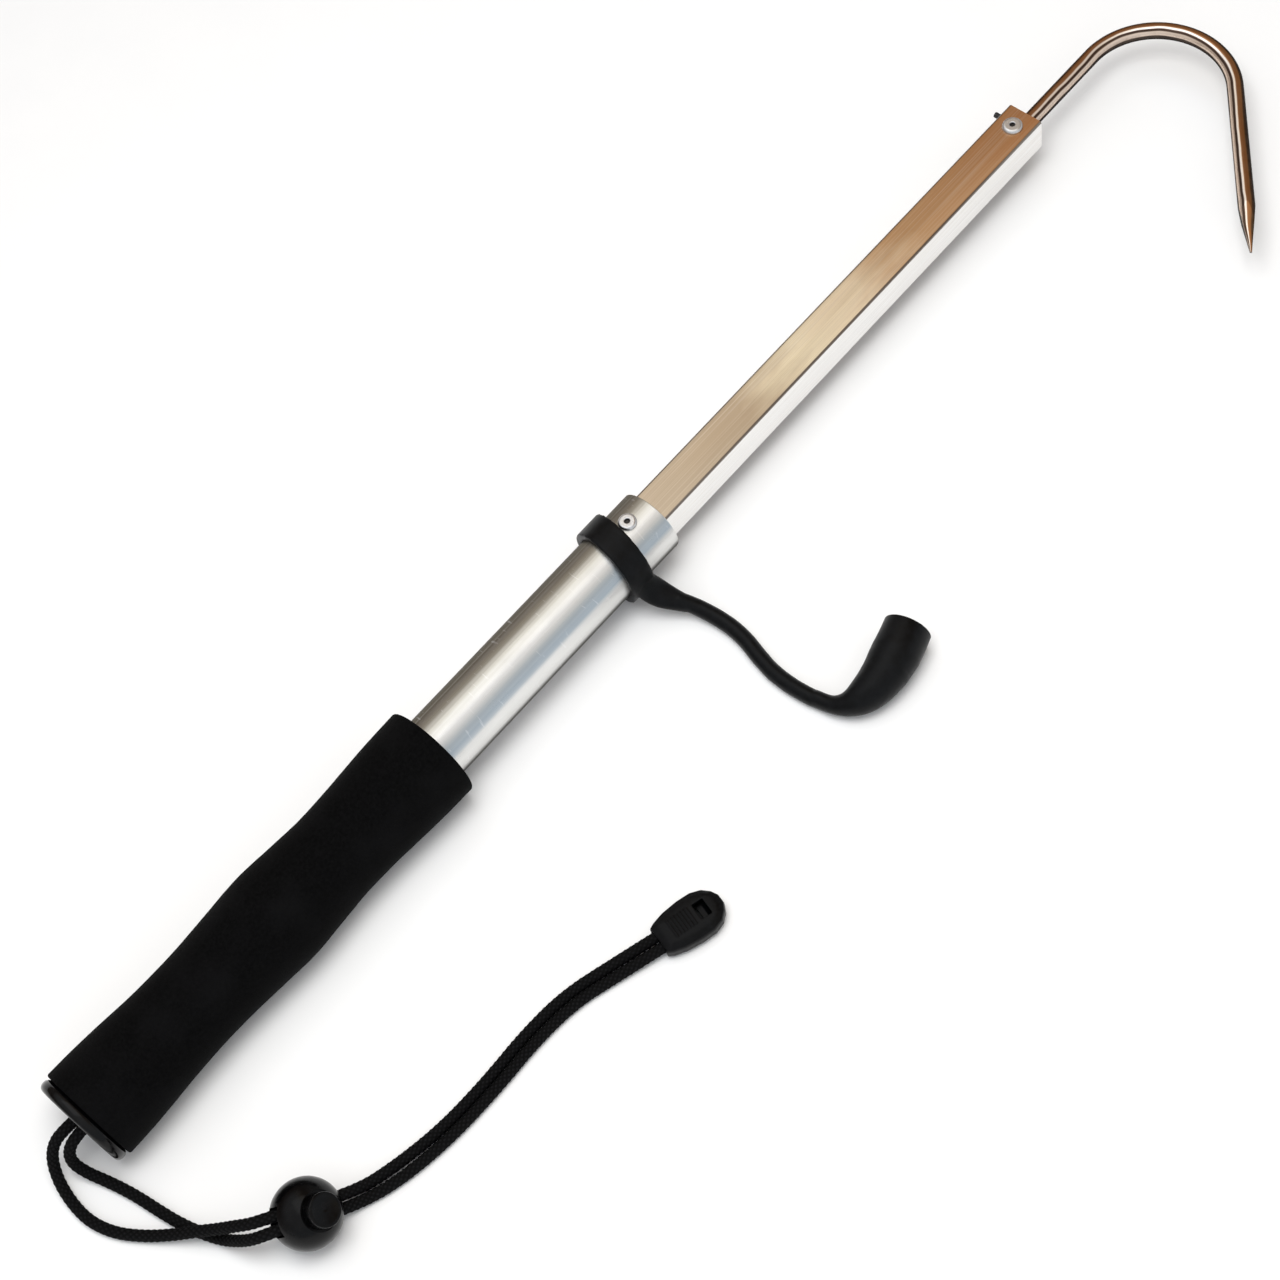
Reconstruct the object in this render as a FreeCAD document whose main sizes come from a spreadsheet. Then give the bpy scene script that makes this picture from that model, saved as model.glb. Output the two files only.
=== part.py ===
import FreeCAD, Part
import Sketcher
import os
import math

V = FreeCAD.Vector
os.makedirs("parts", exist_ok=True)

# Telescopic hand gaff, lying on a table. Millimetres, +Z up.
# The tube axis runs along +X, the hook end is at +X, the wrist cord at -X.
# Z = 0 is the surface that it lies on, X = Y = 0 is the middle of the gaff
# seen from above. Sizes of the pieces on the tube are given from the mouth
# of the round tube, on its axis.

doc = FreeCAD.newDocument("hand_gaff")

# ---------------------------------------------------------------- dimensions
SIZES = [
    ("mouth_x", -3.0), ("axis_y", 44.6), ("axis_z", 18.5),
    # round handle tube
    ("tube_od", 25.0), ("tube_wall", 1.3), ("tube_len", 277.8),
    # foam grip
    ("grip_start", 113.9), ("grip_len", 163.9), ("grip_end_rad", 18.5),
    ("grip_waist_front", 16.7), ("grip_belly", 18.3), ("grip_waist_rear", 16.5),
    # end cap
    ("cap_flange_rad", 17.75), ("cap_flange_thick", 4.5), ("cap_hole_rad", 4.6),
    ("cap_spigot_len", 15.8), ("cap_cavity_rad", 8.5), ("cap_web", 2.8),
    ("cap_round", 2.0), ("knot_rad", 7.0), ("knot_len", 12.5),
    # square slider
    ("square_side", 15.0), ("square_wall", 1.2), ("square_corner", 1.2),
    ("square_out", 215.0), ("square_in", 22.1),
    # guide bushing in the mouth
    ("bush_inset", 0.6), ("bush_len", 21.4), ("bush_gap", 0.1), ("fit_gap", 0.02),
    # stop on the inner end of the slider
    ("stop_rad", 11.1), ("stop_len", 10.0), ("spigot_side", 12.5), ("spigot_len", 18.1),
    ("groove_floor", 8.9), ("groove_width", 2.6), ("groove_at", 27.1),
    ("ring_mean", 10.03), ("ring_section", 1.1),
    ("pin_rad", 1.24), ("pin_at", 12.0), ("pin_len", 14.9), ("pin_bore", 0.75),
    # pop rivets
    ("collar_rivet_at", 10.4), ("collar_head_rad", 3.4), ("collar_head_tall", 1.2),
    ("collar_shank_rad", 1.6), ("hook_rivet_at", 207.0), ("hook_head_rad", 3.95),
    ("hook_head_tall", 1.5), ("hook_shank_rad", 2.0), ("mandrel_rad", 0.95),
    # hook socket
    ("socket_start", 190.0), ("socket_end", 214.3), ("peg_rad", 1.1),
    ("peg_at", 211.2), ("peg_up", 2.5), ("peg_reach", 11.3),
    # hook
    ("wire_rad", 3.175), ("hook_start", 192.0), ("bend_start", 255.7),
    ("bend_rad", 29.5), ("bend_turn", 140.7), ("leg_len", 77.0),
    ("point_len", 21.0), ("point_rad", 0.25),
    # tip guard strap
    ("band_bore", 12.56), ("band_out", 15.45), ("band_front", 14.3),
    ("band_wide", 10.6), ("band_slant", 0.12), ("tail_dia", 6.2),
    # cord lock
    ("ball_rad", 11.75), ("plunger_rad", 5.65), ("plunger_bore", 5.73),
    ("plunger_low", 4.6), ("plunger_high", 14.0), ("bore_floor", 9.6),
    ("slot_half", 4.45), ("slot_low", 2.3), ("slot_high", 5.3),
    # cord and cord end
    ("cord_dia", 4.0), ("end_len", 25.2), ("end_half", 8.1), ("end_mouth_half", 5.2),
    ("end_thick", 8.0), ("end_round", 2.9),
]
sheet = doc.addObject("Spreadsheet::Sheet", "Sizes")
for row, (name, value) in enumerate(SIZES, start=1):
    sheet.set("A%d" % row, name)
    sheet.set("B%d" % row, repr(value))
    sheet.setAlias("B%d" % row, name)
doc.recompute()


class Q:
    """A size: its value now, and the sheet expression that gives it."""

    def __init__(self, v, e):
        self.v = float(v)
        self.e = e

    @staticmethod
    def of(o):
        return o if isinstance(o, Q) else Q(o, repr(float(o)))

    def __add__(self, o):
        o = Q.of(o)
        return Q(self.v + o.v, "(%s + %s)" % (self.e, o.e))

    def __radd__(self, o):
        return Q.of(o) + self

    def __sub__(self, o):
        o = Q.of(o)
        return Q(self.v - o.v, "(%s - %s)" % (self.e, o.e))

    def __rsub__(self, o):
        return Q.of(o) - self

    def __mul__(self, o):
        o = Q.of(o)
        return Q(self.v * o.v, "(%s * %s)" % (self.e, o.e))

    def __rmul__(self, o):
        return Q.of(o) * self

    def __truediv__(self, o):
        o = Q.of(o)
        return Q(self.v / o.v, "(%s / %s)" % (self.e, o.e))

    def __neg__(self):
        return Q(-self.v, "(-1.0 * %s)" % self.e)


class D:
    pass


d = D()
for name, value in SIZES:
    setattr(d, name, Q(sheet.get(name), "Sizes.%s" % name))


def n(name):
    """A size as a plain number, read back from the sheet."""
    return float(sheet.get(name))


# ---------------------------------------------------------------- helpers
def place(obj, x=None, y=None, z=None, rot=None):
    """Puts a sub-part on the gaff's axis, x from the mouth, and binds it."""
    X = d.mouth_x + (x if x is not None else 0.0)
    Y = d.axis_y + (y if y is not None else 0.0)
    Z = d.axis_z + (z if z is not None else 0.0)
    obj.Placement = FreeCAD.Placement(V(X.v, Y.v, Z.v), rot or FreeCAD.Rotation())
    obj.setExpression("Placement.Base.x", X.e)
    obj.setExpression("Placement.Base.y", Y.e)
    obj.setExpression("Placement.Base.z", Z.e)


def body(label):
    b = doc.addObject("PartDesign::Body", label)
    b.Label = label
    return b


def plane(b, role):
    for f in b.Origin.OriginFeatures:
        if f.Role == role:
            return f
    raise RuntimeError("no plane " + role)


def sketch(b, name, role):
    sk = b.newObject("Sketcher::SketchObject", name)
    sk.AttachmentSupport = [(plane(b, role), "")]
    sk.MapMode = "FlatFace"
    return sk


def outline(sk, pts):
    """A closed outline of straight edges, each corner bound to the sheet."""
    pts = [(Q.of(a), Q.of(c)) for a, c in pts]
    first = sk.GeometryCount
    k = len(pts)
    for i in range(k):
        a, c = pts[i], pts[(i + 1) % k]
        sk.addGeometry(Part.LineSegment(V(a[0].v, a[1].v, 0), V(c[0].v, c[1].v, 0)), False)
    for i in range(k):
        sk.addConstraint(Sketcher.Constraint("Coincident", first + i, 2, first + (i + 1) % k, 1))
    for i in range(k):
        for kind, q in (("DistanceX", pts[i][0]), ("DistanceY", pts[i][1])):
            at = sk.addConstraint(Sketcher.Constraint(kind, first + i, 1, q.v))
            if "Sizes." in q.e:
                sk.setExpression("Constraints[%d]" % at, q.e)


def circle(sk, x, y, r):
    x, y, r = Q.of(x), Q.of(y), Q.of(r)
    g = sk.addGeometry(Part.Circle(V(x.v, y.v, 0), V(0, 0, 1), r.v), False)
    for kind, args, q in (("DistanceX", (g, 3), x), ("DistanceY", (g, 3), y), ("Radius", (g,), r)):
        at = sk.addConstraint(Sketcher.Constraint(kind, *args, q.v))
        if "Sizes." in q.e:
            sk.setExpression("Constraints[%d]" % at, q.e)


def rect(sk, x0, y0, x1, y1):
    outline(sk, [(x0, y0), (x1, y0), (x1, y1), (x0, y1)])


def revolve(b, name, sk, axis):
    f = b.newObject("PartDesign::Revolution", name)
    f.Profile = sk
    f.ReferenceAxis = (sk, [axis])
    f.Angle = 360.0
    return f


def pad(b, name, sk, length, mid=False, back=False):
    length = Q.of(length)
    f = b.newObject("PartDesign::Pad", name)
    f.Profile = sk
    f.Length = length.v
    if "Sizes." in length.e:
        f.setExpression("Length", length.e)
    if mid:
        if hasattr(f, "SideType"):
            f.SideType = "Symmetric"
        else:
            f.Midplane = True
    f.Reversed = back
    return f


def pocket(b, name, sk, length, back=False, mid=False):
    """Cuts, and makes sure that something was cut."""
    doc.recompute()
    before = b.Shape.Volume
    length = Q.of(length)
    f = b.newObject("PartDesign::Pocket", name)
    f.Profile = sk
    f.Length = length.v
    if "Sizes." in length.e:
        f.setExpression("Length", length.e)
    if mid:
        if hasattr(f, "SideType"):
            f.SideType = "Symmetric"
        else:
            f.Midplane = True
    f.Reversed = back
    doc.recompute()
    cut = before - b.Shape.Volume
    if cut < 0.02:
        raise RuntimeError("%s cut nothing" % name)
    return f


def edges(shape, test):
    return ["Edge%d" % (i + 1) for i, e in enumerate(shape.Edges) if test(e)]


def fillet(b, name, test, radius, kind="Fillet"):
    doc.recompute()
    base = b.Tip
    names = edges(base.Shape, test)
    if not names:
        raise RuntimeError("no edge for " + name)
    radius = Q.of(radius)
    f = b.newObject("PartDesign::" + kind, name)
    f.Base = (base, names)
    prop = "Radius" if kind == "Fillet" else "Size"
    setattr(f, prop, radius.v)
    if "Sizes." in radius.e:
        f.setExpression(prop, radius.e)
    doc.recompute()
    return f


def curve(e):
    """The edge's curve, or None where it has none that can be read."""
    try:
        return e.Curve
    except Exception:
        return None


def ring_edge(r, x=None, tol=0.02, axis="x"):
    """Picks whole circles of radius r round a sub-part's own axis."""
    def test(e):
        c = curve(e)
        if not hasattr(c, "Radius") or abs(c.Radius - r) > tol:
            return False
        a = {"x": V(1, 0, 0), "z": V(0, 0, 1)}[axis]
        if abs(abs(c.Axis.dot(a)) - 1) > 1e-6:
            return False
        at = c.Center.x if axis == "x" else c.Center.z
        return x is None or abs(at - x) < tol
    return test


parts = []


def keep(obj):
    parts.append(obj)


# ---------------------------------------------------------------- handle tube
bore = d.tube_od / 2 - d.tube_wall
b = body("handle_tube")
sk = sketch(b, "handle_tube_wall", "XZ_Plane")
rect(sk, -d.tube_len, bore, 0.0, d.tube_od / 2)
revolve(b, "handle_tube_body", sk, "H_Axis")
sk = sketch(b, "handle_tube_rivet_hole", "XY_Plane")
circle(sk, -d.collar_rivet_at, 0.0, d.collar_shank_rad + d.fit_gap)
pocket(b, "handle_tube_hole", sk, d.tube_od, back=True)
fillet(b, "handle_tube_deburr", ring_edge(n("tube_od") / 2, 0.0), 0.3)
place(b)
keep(b)

# ---------------------------------------------------------------- foam grip
# Turned foam sleeve: full at both ends, a belly between two narrower waists.
g0, gl = n("grip_start"), n("grip_len")
re, rf, rb, rr = n("grip_end_rad"), n("grip_waist_front"), n("grip_belly"), n("grip_waist_rear")
prof = [(0.0, re), (0.075, re - 0.22), (0.17, 0.42 * re + 0.58 * rf), (0.245, rf + 0.12), (0.30, rf),
        (0.375, 0.55 * rf + 0.45 * rb), (0.47, rb), (0.56, 0.56 * rb + 0.44 * rr), (0.64, rr + 0.22),
        (0.71, rr), (0.79, rr + 0.35), (0.87, 0.62 * re + 0.38 * rr), (0.945, re - 0.16), (1.0, re)]
pts = [V(-(g0 + s * gl), 0, r) for s, r in prof]
spl = Part.BSplineCurve()
spl.interpolate(pts)
ri = n("tube_od") / 2
e1 = spl.toShape()
e2 = Part.LineSegment(pts[-1], V(pts[-1].x, 0, ri)).toShape()
e3 = Part.LineSegment(V(pts[-1].x, 0, ri), V(pts[0].x, 0, ri)).toShape()
e4 = Part.LineSegment(V(pts[0].x, 0, ri), pts[0]).toShape()
face = Part.Face(Part.Wire([e1, e2, e3, e4]))
sol = face.revolve(V(0, 0, 0), V(1, 0, 0), 360)
if sol.Volume < 0:
    sol.reverse()
o = doc.addObject("Part::Feature", "foam_grip")
o.Label = "foam_grip"
o.Shape = Part.Solid(sol.Shells[0]) if sol.ShapeType != "Solid" else sol
place(o)
keep(o)

# ---------------------------------------------------------------- end cap
b = body("end_cap")
sk = sketch(b, "end_cap_profile", "XZ_Plane")
xe = -d.tube_len
xo = xe - d.cap_flange_thick
outline(sk, [(xo, d.cap_hole_rad), (xo, d.cap_flange_rad), (xe, d.cap_flange_rad),
             (xe, bore - d.fit_gap), (xe + d.cap_spigot_len, bore - d.fit_gap),
             (xe + d.cap_spigot_len, d.cap_cavity_rad), (xo + d.cap_web, d.cap_cavity_rad),
             (xo + d.cap_web, d.cap_hole_rad)])
revolve(b, "end_cap_body", sk, "H_Axis")
xo_v, xe_v = xo.v, xe.v
fillet(b, "end_cap_round",
       lambda e: ring_edge(n("cap_flange_rad"), xo_v)(e) or ring_edge(n("cap_flange_rad"), xe_v)(e),
       d.cap_round)
fillet(b, "end_cap_hole_round", ring_edge(n("cap_hole_rad"), xo_v), 0.9)
place(b)
keep(b)

# Stopper knot of the wrist cord, drawn up against the web inside the cap.
b = body("lanyard_knot")
sk = sketch(b, "lanyard_knot_profile", "XZ_Plane")
kx = xo + d.cap_web
outline(sk, [(kx, 0.0), (kx, d.knot_rad * 0.8), (kx + 2.2, d.knot_rad), (kx + d.knot_len - 3.0, d.knot_rad),
             (kx + d.knot_len, d.knot_rad * 0.55), (kx + d.knot_len, 0.0)])
revolve(b, "lanyard_knot_body", sk, "H_Axis")
place(b)
keep(b)

# ---------------------------------------------------------------- guide bushing
b = body("guide_bushing")
sk = sketch(b, "guide_bushing_section", "YZ_Plane")
circle(sk, 0.0, 0.0, bore - d.fit_gap)
half = d.square_side / 2 + d.bush_gap
rect(sk, -half, -half, half, half)
pad(b, "guide_bushing_body", sk, d.bush_len, back=True)
sk = sketch(b, "guide_bushing_rivet_hole", "XY_Plane")
circle(sk, -(d.collar_rivet_at - d.bush_inset), 0.0, d.collar_shank_rad + d.fit_gap)
pocket(b, "guide_bushing_hole", sk, d.tube_od, back=True)
hv = half.v
fillet(b, "guide_bushing_corners",
       lambda e: e.Length > 15 and not hasattr(curve(e), "Radius") and abs(abs(e.CenterOfMass.y) - hv) < 0.01
       and abs(abs(e.CenterOfMass.z) - hv) < 0.01, d.square_corner)
place(b, x=-d.bush_inset)
keep(b)


# ---------------------------------------------------------------- pop rivets
def rivet(label, head_rad, head_tall, shank_rad, low, sits):
    """Dome-head blind rivet, hollow down its middle."""
    b = body(label)
    sk = sketch(b, label + "_profile", "XZ_Plane")
    outline(sk, [(d.mandrel_rad + 0.03, head_tall), (head_rad, head_tall), (head_rad, 0.0), (shank_rad, 0.0),
                 (shank_rad, -(sits - low)), (d.mandrel_rad + 0.03, -(sits - low))])
    revolve(b, label + "_body", sk, "V_Axis")
    fillet(b, label + "_dome", ring_edge(head_rad.v, head_tall.v, axis="z"), head_tall * 0.85)
    fillet(b, label + "_eye", ring_edge(n("mandrel_rad") + 0.03, head_tall.v, axis="z"), 0.35)
    return b


def mandrel(label, low, high):
    b = body(label)
    sk = sketch(b, label + "_profile", "XZ_Plane")
    outline(sk, [(0.0, low), (d.mandrel_rad, low), (d.mandrel_rad, high - 0.3), (d.mandrel_rad * 0.7, high), (0.0, high)])
    revolve(b, label + "_body", sk, "V_Axis")
    return b


top = d.tube_od / 2
b = rivet("collar_rivet", d.collar_head_rad, d.collar_head_tall, d.collar_shank_rad, Q.of(7.9), top)
place(b, x=-d.collar_rivet_at, z=top)
keep(b)
b = mandrel("collar_rivet_mandrel", Q.of(-4.3), Q.of(0.55))
place(b, x=-d.collar_rivet_at, z=top)
keep(b)

# ---------------------------------------------------------------- square slider tube
b = body("square_tube")
sk = sketch(b, "square_tube_section", "YZ_Plane")
hs = d.square_side / 2
hi = hs - d.square_wall
rect(sk, -hs, -hs, hs, hs)
rect(sk, -hi, -hi, hi, hi)
pad(b, "square_tube_body", sk, d.square_out + d.square_in)
hs_v = hs.v
fillet(b, "square_tube_corners",
       lambda e: e.Length > 100 and abs(abs(e.CenterOfMass.y) - hs_v) < 0.01 and abs(abs(e.CenterOfMass.z) - hs_v) < 0.01,
       d.square_corner)
sk = sketch(b, "square_tube_rivet_hole", "XY_Plane")
circle(sk, d.square_in + d.hook_rivet_at, 0.0, d.hook_shank_rad + d.fit_gap)
pocket(b, "square_tube_hole", sk, d.square_side, back=True)
sk = sketch(b, "square_tube_pin_hole", "XZ_Plane")
circle(sk, d.square_in - d.pin_at, 0.0, d.pin_rad + 0.01)
pocket(b, "square_tube_pin_bore", sk, d.square_side * 2, mid=True)
sk = sketch(b, "square_tube_peg_hole", "XZ_Plane")
circle(sk, d.square_in + d.peg_at, d.peg_up, d.peg_rad + 0.03)
pocket(b, "square_tube_peg_bore", sk, d.square_side)
place(b, x=-d.square_in)
keep(b)

# ---------------------------------------------------------------- stop on the inner end
b = body("slider_stop")
sk = sketch(b, "slider_stop_profile", "XZ_Plane")
gw = d.groove_width / 2
xs = -d.square_in
outline(sk, [(xs - d.stop_len, 0.0), (xs - d.stop_len, d.stop_rad), (-d.groove_at - gw, d.stop_rad),
             (-d.groove_at - gw, d.groove_floor), (-d.groove_at + gw, d.groove_floor),
             (-d.groove_at + gw, d.stop_rad), (xs, d.stop_rad), (xs, 0.0)])
revolve(b, "slider_stop_head", sk, "H_Axis")
doc.recompute()
sk = sketch(b, "slider_stop_spigot", "XY_Plane")
sp = d.spigot_side / 2
rect(sk, xs - 1.0, -sp, xs + d.spigot_len, sp)
pad(b, "slider_stop_tongue", sk, d.spigot_side, mid=True)
sk = sketch(b, "slider_stop_pin_hole", "XZ_Plane")
circle(sk, -d.pin_at, 0.0, d.pin_rad + 0.01)
pocket(b, "slider_stop_pin_bore", sk, d.square_side * 2, mid=True)
fillet(b, "slider_stop_lead", ring_edge(n("stop_rad"), xs.v - n("stop_len")), 0.8, kind="Chamfer")
place(b)
keep(b)

# Rubber ring in the stop's groove: it rubs on the bore and holds the slider where it is left.
o = doc.addObject("Part::Torus", "friction_ring")
o.Label = "friction_ring"
o.setExpression("Radius1", "Sizes.ring_mean")
o.setExpression("Radius2", "Sizes.ring_section")
place(o, x=-d.groove_at, rot=FreeCAD.Rotation(V(0, 1, 0), 90))
keep(o)

# Rolled spring pin through tube and tongue.
b = body("slider_pin")
sk = sketch(b, "slider_pin_section", "XZ_Plane")
circle(sk, 0.0, 0.0, d.pin_rad)
circle(sk, 0.0, 0.0, d.pin_bore)
pad(b, "slider_pin_body", sk, d.pin_len, mid=True)
sk = sketch(b, "slider_pin_slit", "XY_Plane")
rect(sk, -0.15, -(d.pin_len / 2 + 1.0), 0.15, d.pin_len / 2 + 1.0)
pocket(b, "slider_pin_split", sk, 3.0, back=True)
place(b, x=-d.pin_at)
keep(b)

# ---------------------------------------------------------------- hook socket
b = body("hook_socket")
sk = sketch(b, "hook_socket_block", "YZ_Plane")
so = hi - 0.05
rect(sk, -so, -so, so, so)
pad(b, "hook_socket_body", sk, d.socket_end - d.socket_start)
doc.recompute()
sk = sketch(b, "hook_socket_bore", "YZ_Plane")
circle(sk, 0.0, 0.0, d.wire_rad + d.fit_gap)
pocket(b, "hook_socket_wire_hole", sk, d.socket_end - d.socket_start + 5.0, back=True)
sk = sketch(b, "hook_socket_cross", "XY_Plane")
circle(sk, d.hook_rivet_at - d.socket_start, 0.0, d.hook_shank_rad + d.fit_gap)
pocket(b, "hook_socket_rivet_hole", sk, d.square_side, mid=True)
sk = sketch(b, "hook_socket_peg", "XZ_Plane")
circle(sk, d.peg_at - d.socket_start, d.peg_up, d.peg_rad)
pad(b, "hook_socket_peg_body", sk, d.peg_reach, back=True)
doc.recompute()
# the peg starts at the middle plane, so the wire's hole is opened again
sk = sketch(b, "hook_socket_clear", "YZ_Plane")
circle(sk, 0.0, 0.0, d.wire_rad + d.fit_gap)
pocket(b, "hook_socket_wire_clear", sk, d.socket_end - d.socket_start + 5.0, back=True)
place(b, x=d.socket_start)
keep(b)

b = rivet("hook_rivet", d.hook_head_rad, d.hook_head_tall, d.hook_shank_rad, Q.of(-5.2), hs)
place(b, x=d.hook_rivet_at, z=hs)
keep(b)
b = mandrel("hook_rivet_mandrel", Q.of(-12.4), Q.of(0.75))
place(b, x=d.hook_rivet_at, z=hs)
keep(b)

# ---------------------------------------------------------------- hook
# Round wire: straight shank, one wide bend, a straight leg and a ground point.
wr, hx, bx, br = n("wire_rad"), n("hook_start"), n("bend_start"), n("bend_rad")
turn = math.radians(n("bend_turn"))
cen = V(bx, -br, 0)


def on_bend(a):
    return cen + V(br * math.sin(a), br * math.cos(a), 0)


leg_dir = V(math.cos(turn), -math.sin(turn), 0)
leg0 = on_bend(turn)
straight = n("leg_len") - n("point_len")
leg1 = leg0 + leg_dir * straight
tip = leg0 + leg_dir * n("leg_len")
path = Part.Wire([
    Part.LineSegment(V(hx, 0, 0), V(bx, 0, 0)).toShape(),
    Part.Arc(V(bx, 0, 0), on_bend(turn / 2), leg0).toShape(),
    Part.LineSegment(leg0, leg1).toShape()])
sect = Part.Wire([Part.Circle(V(hx, 0, 0), V(1, 0, 0), wr).toShape()])
wire = path.makePipeShell([sect], True, False)
point = Part.makeCone(wr, n("point_rad"), n("point_len"), leg1, leg_dir)
hook = wire.fuse(point).removeSplitter()
drill = Part.makeCylinder(n("hook_shank_rad") + 0.03, 12, V(n("hook_rivet_at"), 0, -6), V(0, 0, 1))
hook = hook.cut(drill)
if hook.ShapeType != "Solid":
    hook = hook.Solids[0]
o = doc.addObject("Part::Feature", "gaff_hook")
o.Label = "gaff_hook"
o.Shape = hook
place(o)
keep(o)
print("hook tip from the mouth", tip)


# ---------------------------------------------------------------- routes
def rounded(points):
    """Straight runs joined by tangent arcs, each as large as its runs allow."""
    P = [V(*p) for p in points]
    made, radii = [], []
    last = P[0]
    for i in range(1, len(P) - 1):
        a, c = P[i] - P[i - 1], P[i + 1] - P[i]
        la, lc = a.Length, c.Length
        ua, uc = a * (1 / la), c * (1 / lc)
        ang = math.acos(max(-1.0, min(1.0, ua.dot(uc))))
        t = 0.45 * min(la, lc)
        rad = t / math.tan(ang / 2)
        radii.append(round(rad, 1))
        s, e = P[i] - ua * t, P[i] + uc * t
        bis = uc - ua
        bis.normalize()
        mid_centre = P[i] + bis * math.hypot(t, rad)
        m = P[i] - mid_centre
        m.normalize()
        m = mid_centre + m * rad
        if (s - last).Length > 1e-4:
            made.append(Part.LineSegment(last, s).toShape())
        made.append(Part.Arc(s, m, e).toShape())
        last = e
    made.append(Part.LineSegment(last, P[-1]).toShape())
    return Part.Wire(made), radii


def tube_along(points, dia, label):
    w, radii = rounded(points)
    start = V(*points[0])
    axis = V(*points[1]) - start
    axis.normalize()
    prof = Part.Wire([Part.Circle(start, axis, dia / 2).toShape()])
    s = w.makePipeShell([prof], True, False)
    if s.Volume < 0:
        s.reverse()
    want = math.pi * dia * dia / 4 * w.Length
    print("%s: length %.1f mm, smallest radius %.1f mm, radii %s" % (label, w.Length, min(radii), radii))
    print("  volume %.1f against section x length %.1f" % (s.Volume, want))
    if abs(s.Volume - want) > 0.01 * want:
        raise RuntimeError(label + " has the wrong volume")
    return s


# ---------------------------------------------------------------- tip guard strap
# One soft moulding: a flat band round the tube, a web that gathers into a round
# tail, and a hollow cover for the hook's point. The tail lies on the table.
bw, bf, sl = n("band_wide"), n("band_front"), n("band_slant")
ring = Part.makeCylinder(n("band_out"), 40, V(-40, 0, 0), V(1, 0, 0))
ring = ring.cut(Part.makeCylinder(n("band_bore"), 42, V(-41, 0, 0), V(1, 0, 0)))
yy = 20.0
sleeve = Part.Face(Part.makePolygon([V(-bf + sl * yy, yy, -20), V(-bf - sl * yy, -yy, -20),
                                     V(-bf - bw - sl * yy, -yy, -20), V(-bf - bw + sl * yy, yy, -20),
                                     V(-bf + sl * yy, yy, -20)])).extrude(V(0, 0, 40))
ring = ring.common(sleeve)


def oval(centre, normal, wide_dir, wide, thick):
    """An oval section: half-sizes wide and thick."""
    nn = V(*normal)
    nn.normalize()
    wd = V(*wide_dir)
    wd = wd - nn * wd.dot(nn)
    wd.normalize()
    c = V(*centre)
    if abs(wide - thick) < 1e-6:
        ci = Part.Circle(c, nn, wide)
        ci.XAxis = wd
        return Part.Wire([ci.toShape()])
    el = Part.Ellipse(c + wd * wide, c + nn.cross(wd) * thick, c)
    return Part.Wire([el.toShape()])


td = n("tail_dia")
th = math.radians(28)
rad_in = V(0, -math.cos(th), -math.sin(th))
band_mid = -bf - bw / 2 - sl * 12.0
tail_pts = [(-15.4, -23.4, -10.2), (-12.8, -28.6, -12.6), (-10.9, -35.6, -14.5),
            (-10.2, -43.6, -15.3), (-11.2, -51.6, -15.35), (-13.4, -59.0, -15.35), (-15.2, -67.4, -15.35),
            (-15.4, -76.4, -15.3), (-14.4, -85.0, -14.9)]
tail = tube_along(tail_pts, td, "strap tail")
web = Part.makeLoft([
    oval((band_mid, -14.0, 0.5), (0, -0.35, -0.94), (1, 0, 0), bw / 2 - 0.25, 1.4),
    oval((-20.0, -15.4, -3.2), (0.12, -0.55, -0.83), (1, 0, 0), 5.2, 1.9),
    oval((-18.6, -17.9, -6.6), (0.30, -0.72, -0.62), (1, 0, 0), 5.1, 2.4),
    oval((-16.7, -21.5, -9.3), (0.42, -0.78, -0.46), (1, 0, 0), 4.4, 2.8),
    oval((-15.1, -24.6, -10.9), (0.46, -0.78, -0.43), (1, 0, 0), 3.6, 3.05),
    oval((-13.9, -27.0, -12.0), (0.46, -0.80, -0.40), (1, 0, 0), td / 2, td / 2 - 0.0001)], True, False)
cover_pts = [(-14.45, -84.2, -14.95), (-13.1, -90.6, -14.1), (-10.6, -95.4, -12.9), (-5.6, -98.6, -11.6),
             (1.0, -99.8, -10.6), (8.0, -99.4, -9.8), (15.4, -97.9, -9.5), (24.2, -95.2, -9.75)]
cover_rad = [td / 2, 3.2, 4.2, 6.1, 7.4, 8.3, 8.85, 8.6]
cover_dir = [(0.10, -0.99, 0.06), (0.36, -0.92, 0.18), (0.68, -0.70, 0.22), (0.93, -0.33, 0.16), (0.99, -0.04, 0.12),
             (0.98, 0.14, 0.06), (0.96, 0.25, 0.03), (0.955, 0.29, 0.0)]
cover = Part.makeLoft([oval(p, q, (0, 0, 1), r, r) for p, q, r in zip(cover_pts, cover_dir, cover_rad)], True, False)
hollow_pts = [(0.5, -99.9, -10.5), (5.0, -99.7, -10.2), (14.4, -98.2, -9.5), (24.2, -95.2, -9.75), (25.6, -94.78, -9.75)]
hollow_rad = [3.4, 5.3, 6.1, 6.5, 6.6]
hollow_dir = [(0.98, 0.02, 0.08), (0.99, 0.09, 0.08), (0.96, 0.25, 0.03), (0.955, 0.29, 0.0), (0.955, 0.29, 0.0)]
hollow = Part.makeLoft([oval(p, q, (0, 0, 1), r, r) for p, q, r in zip(hollow_pts, hollow_dir, hollow_rad)], True, False)
strap = ring.fuse([web, tail, cover])
strap = strap.cut(Part.makeCylinder(n("band_bore"), 60, V(-50, 0, 0), V(1, 0, 0)))
strap = strap.cut(hollow)
strap = strap.removeSplitter()
print("strap solids", len(strap.Solids), "volume", round(strap.Volume))
if len(strap.Solids) != 1:
    raise RuntimeError("the strap is not one solid")
o = doc.addObject("Part::Feature", "tip_guard_strap")
o.Label = "tip_guard_strap"
o.Shape = strap.Solids[0]
place(o)
keep(o)

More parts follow.
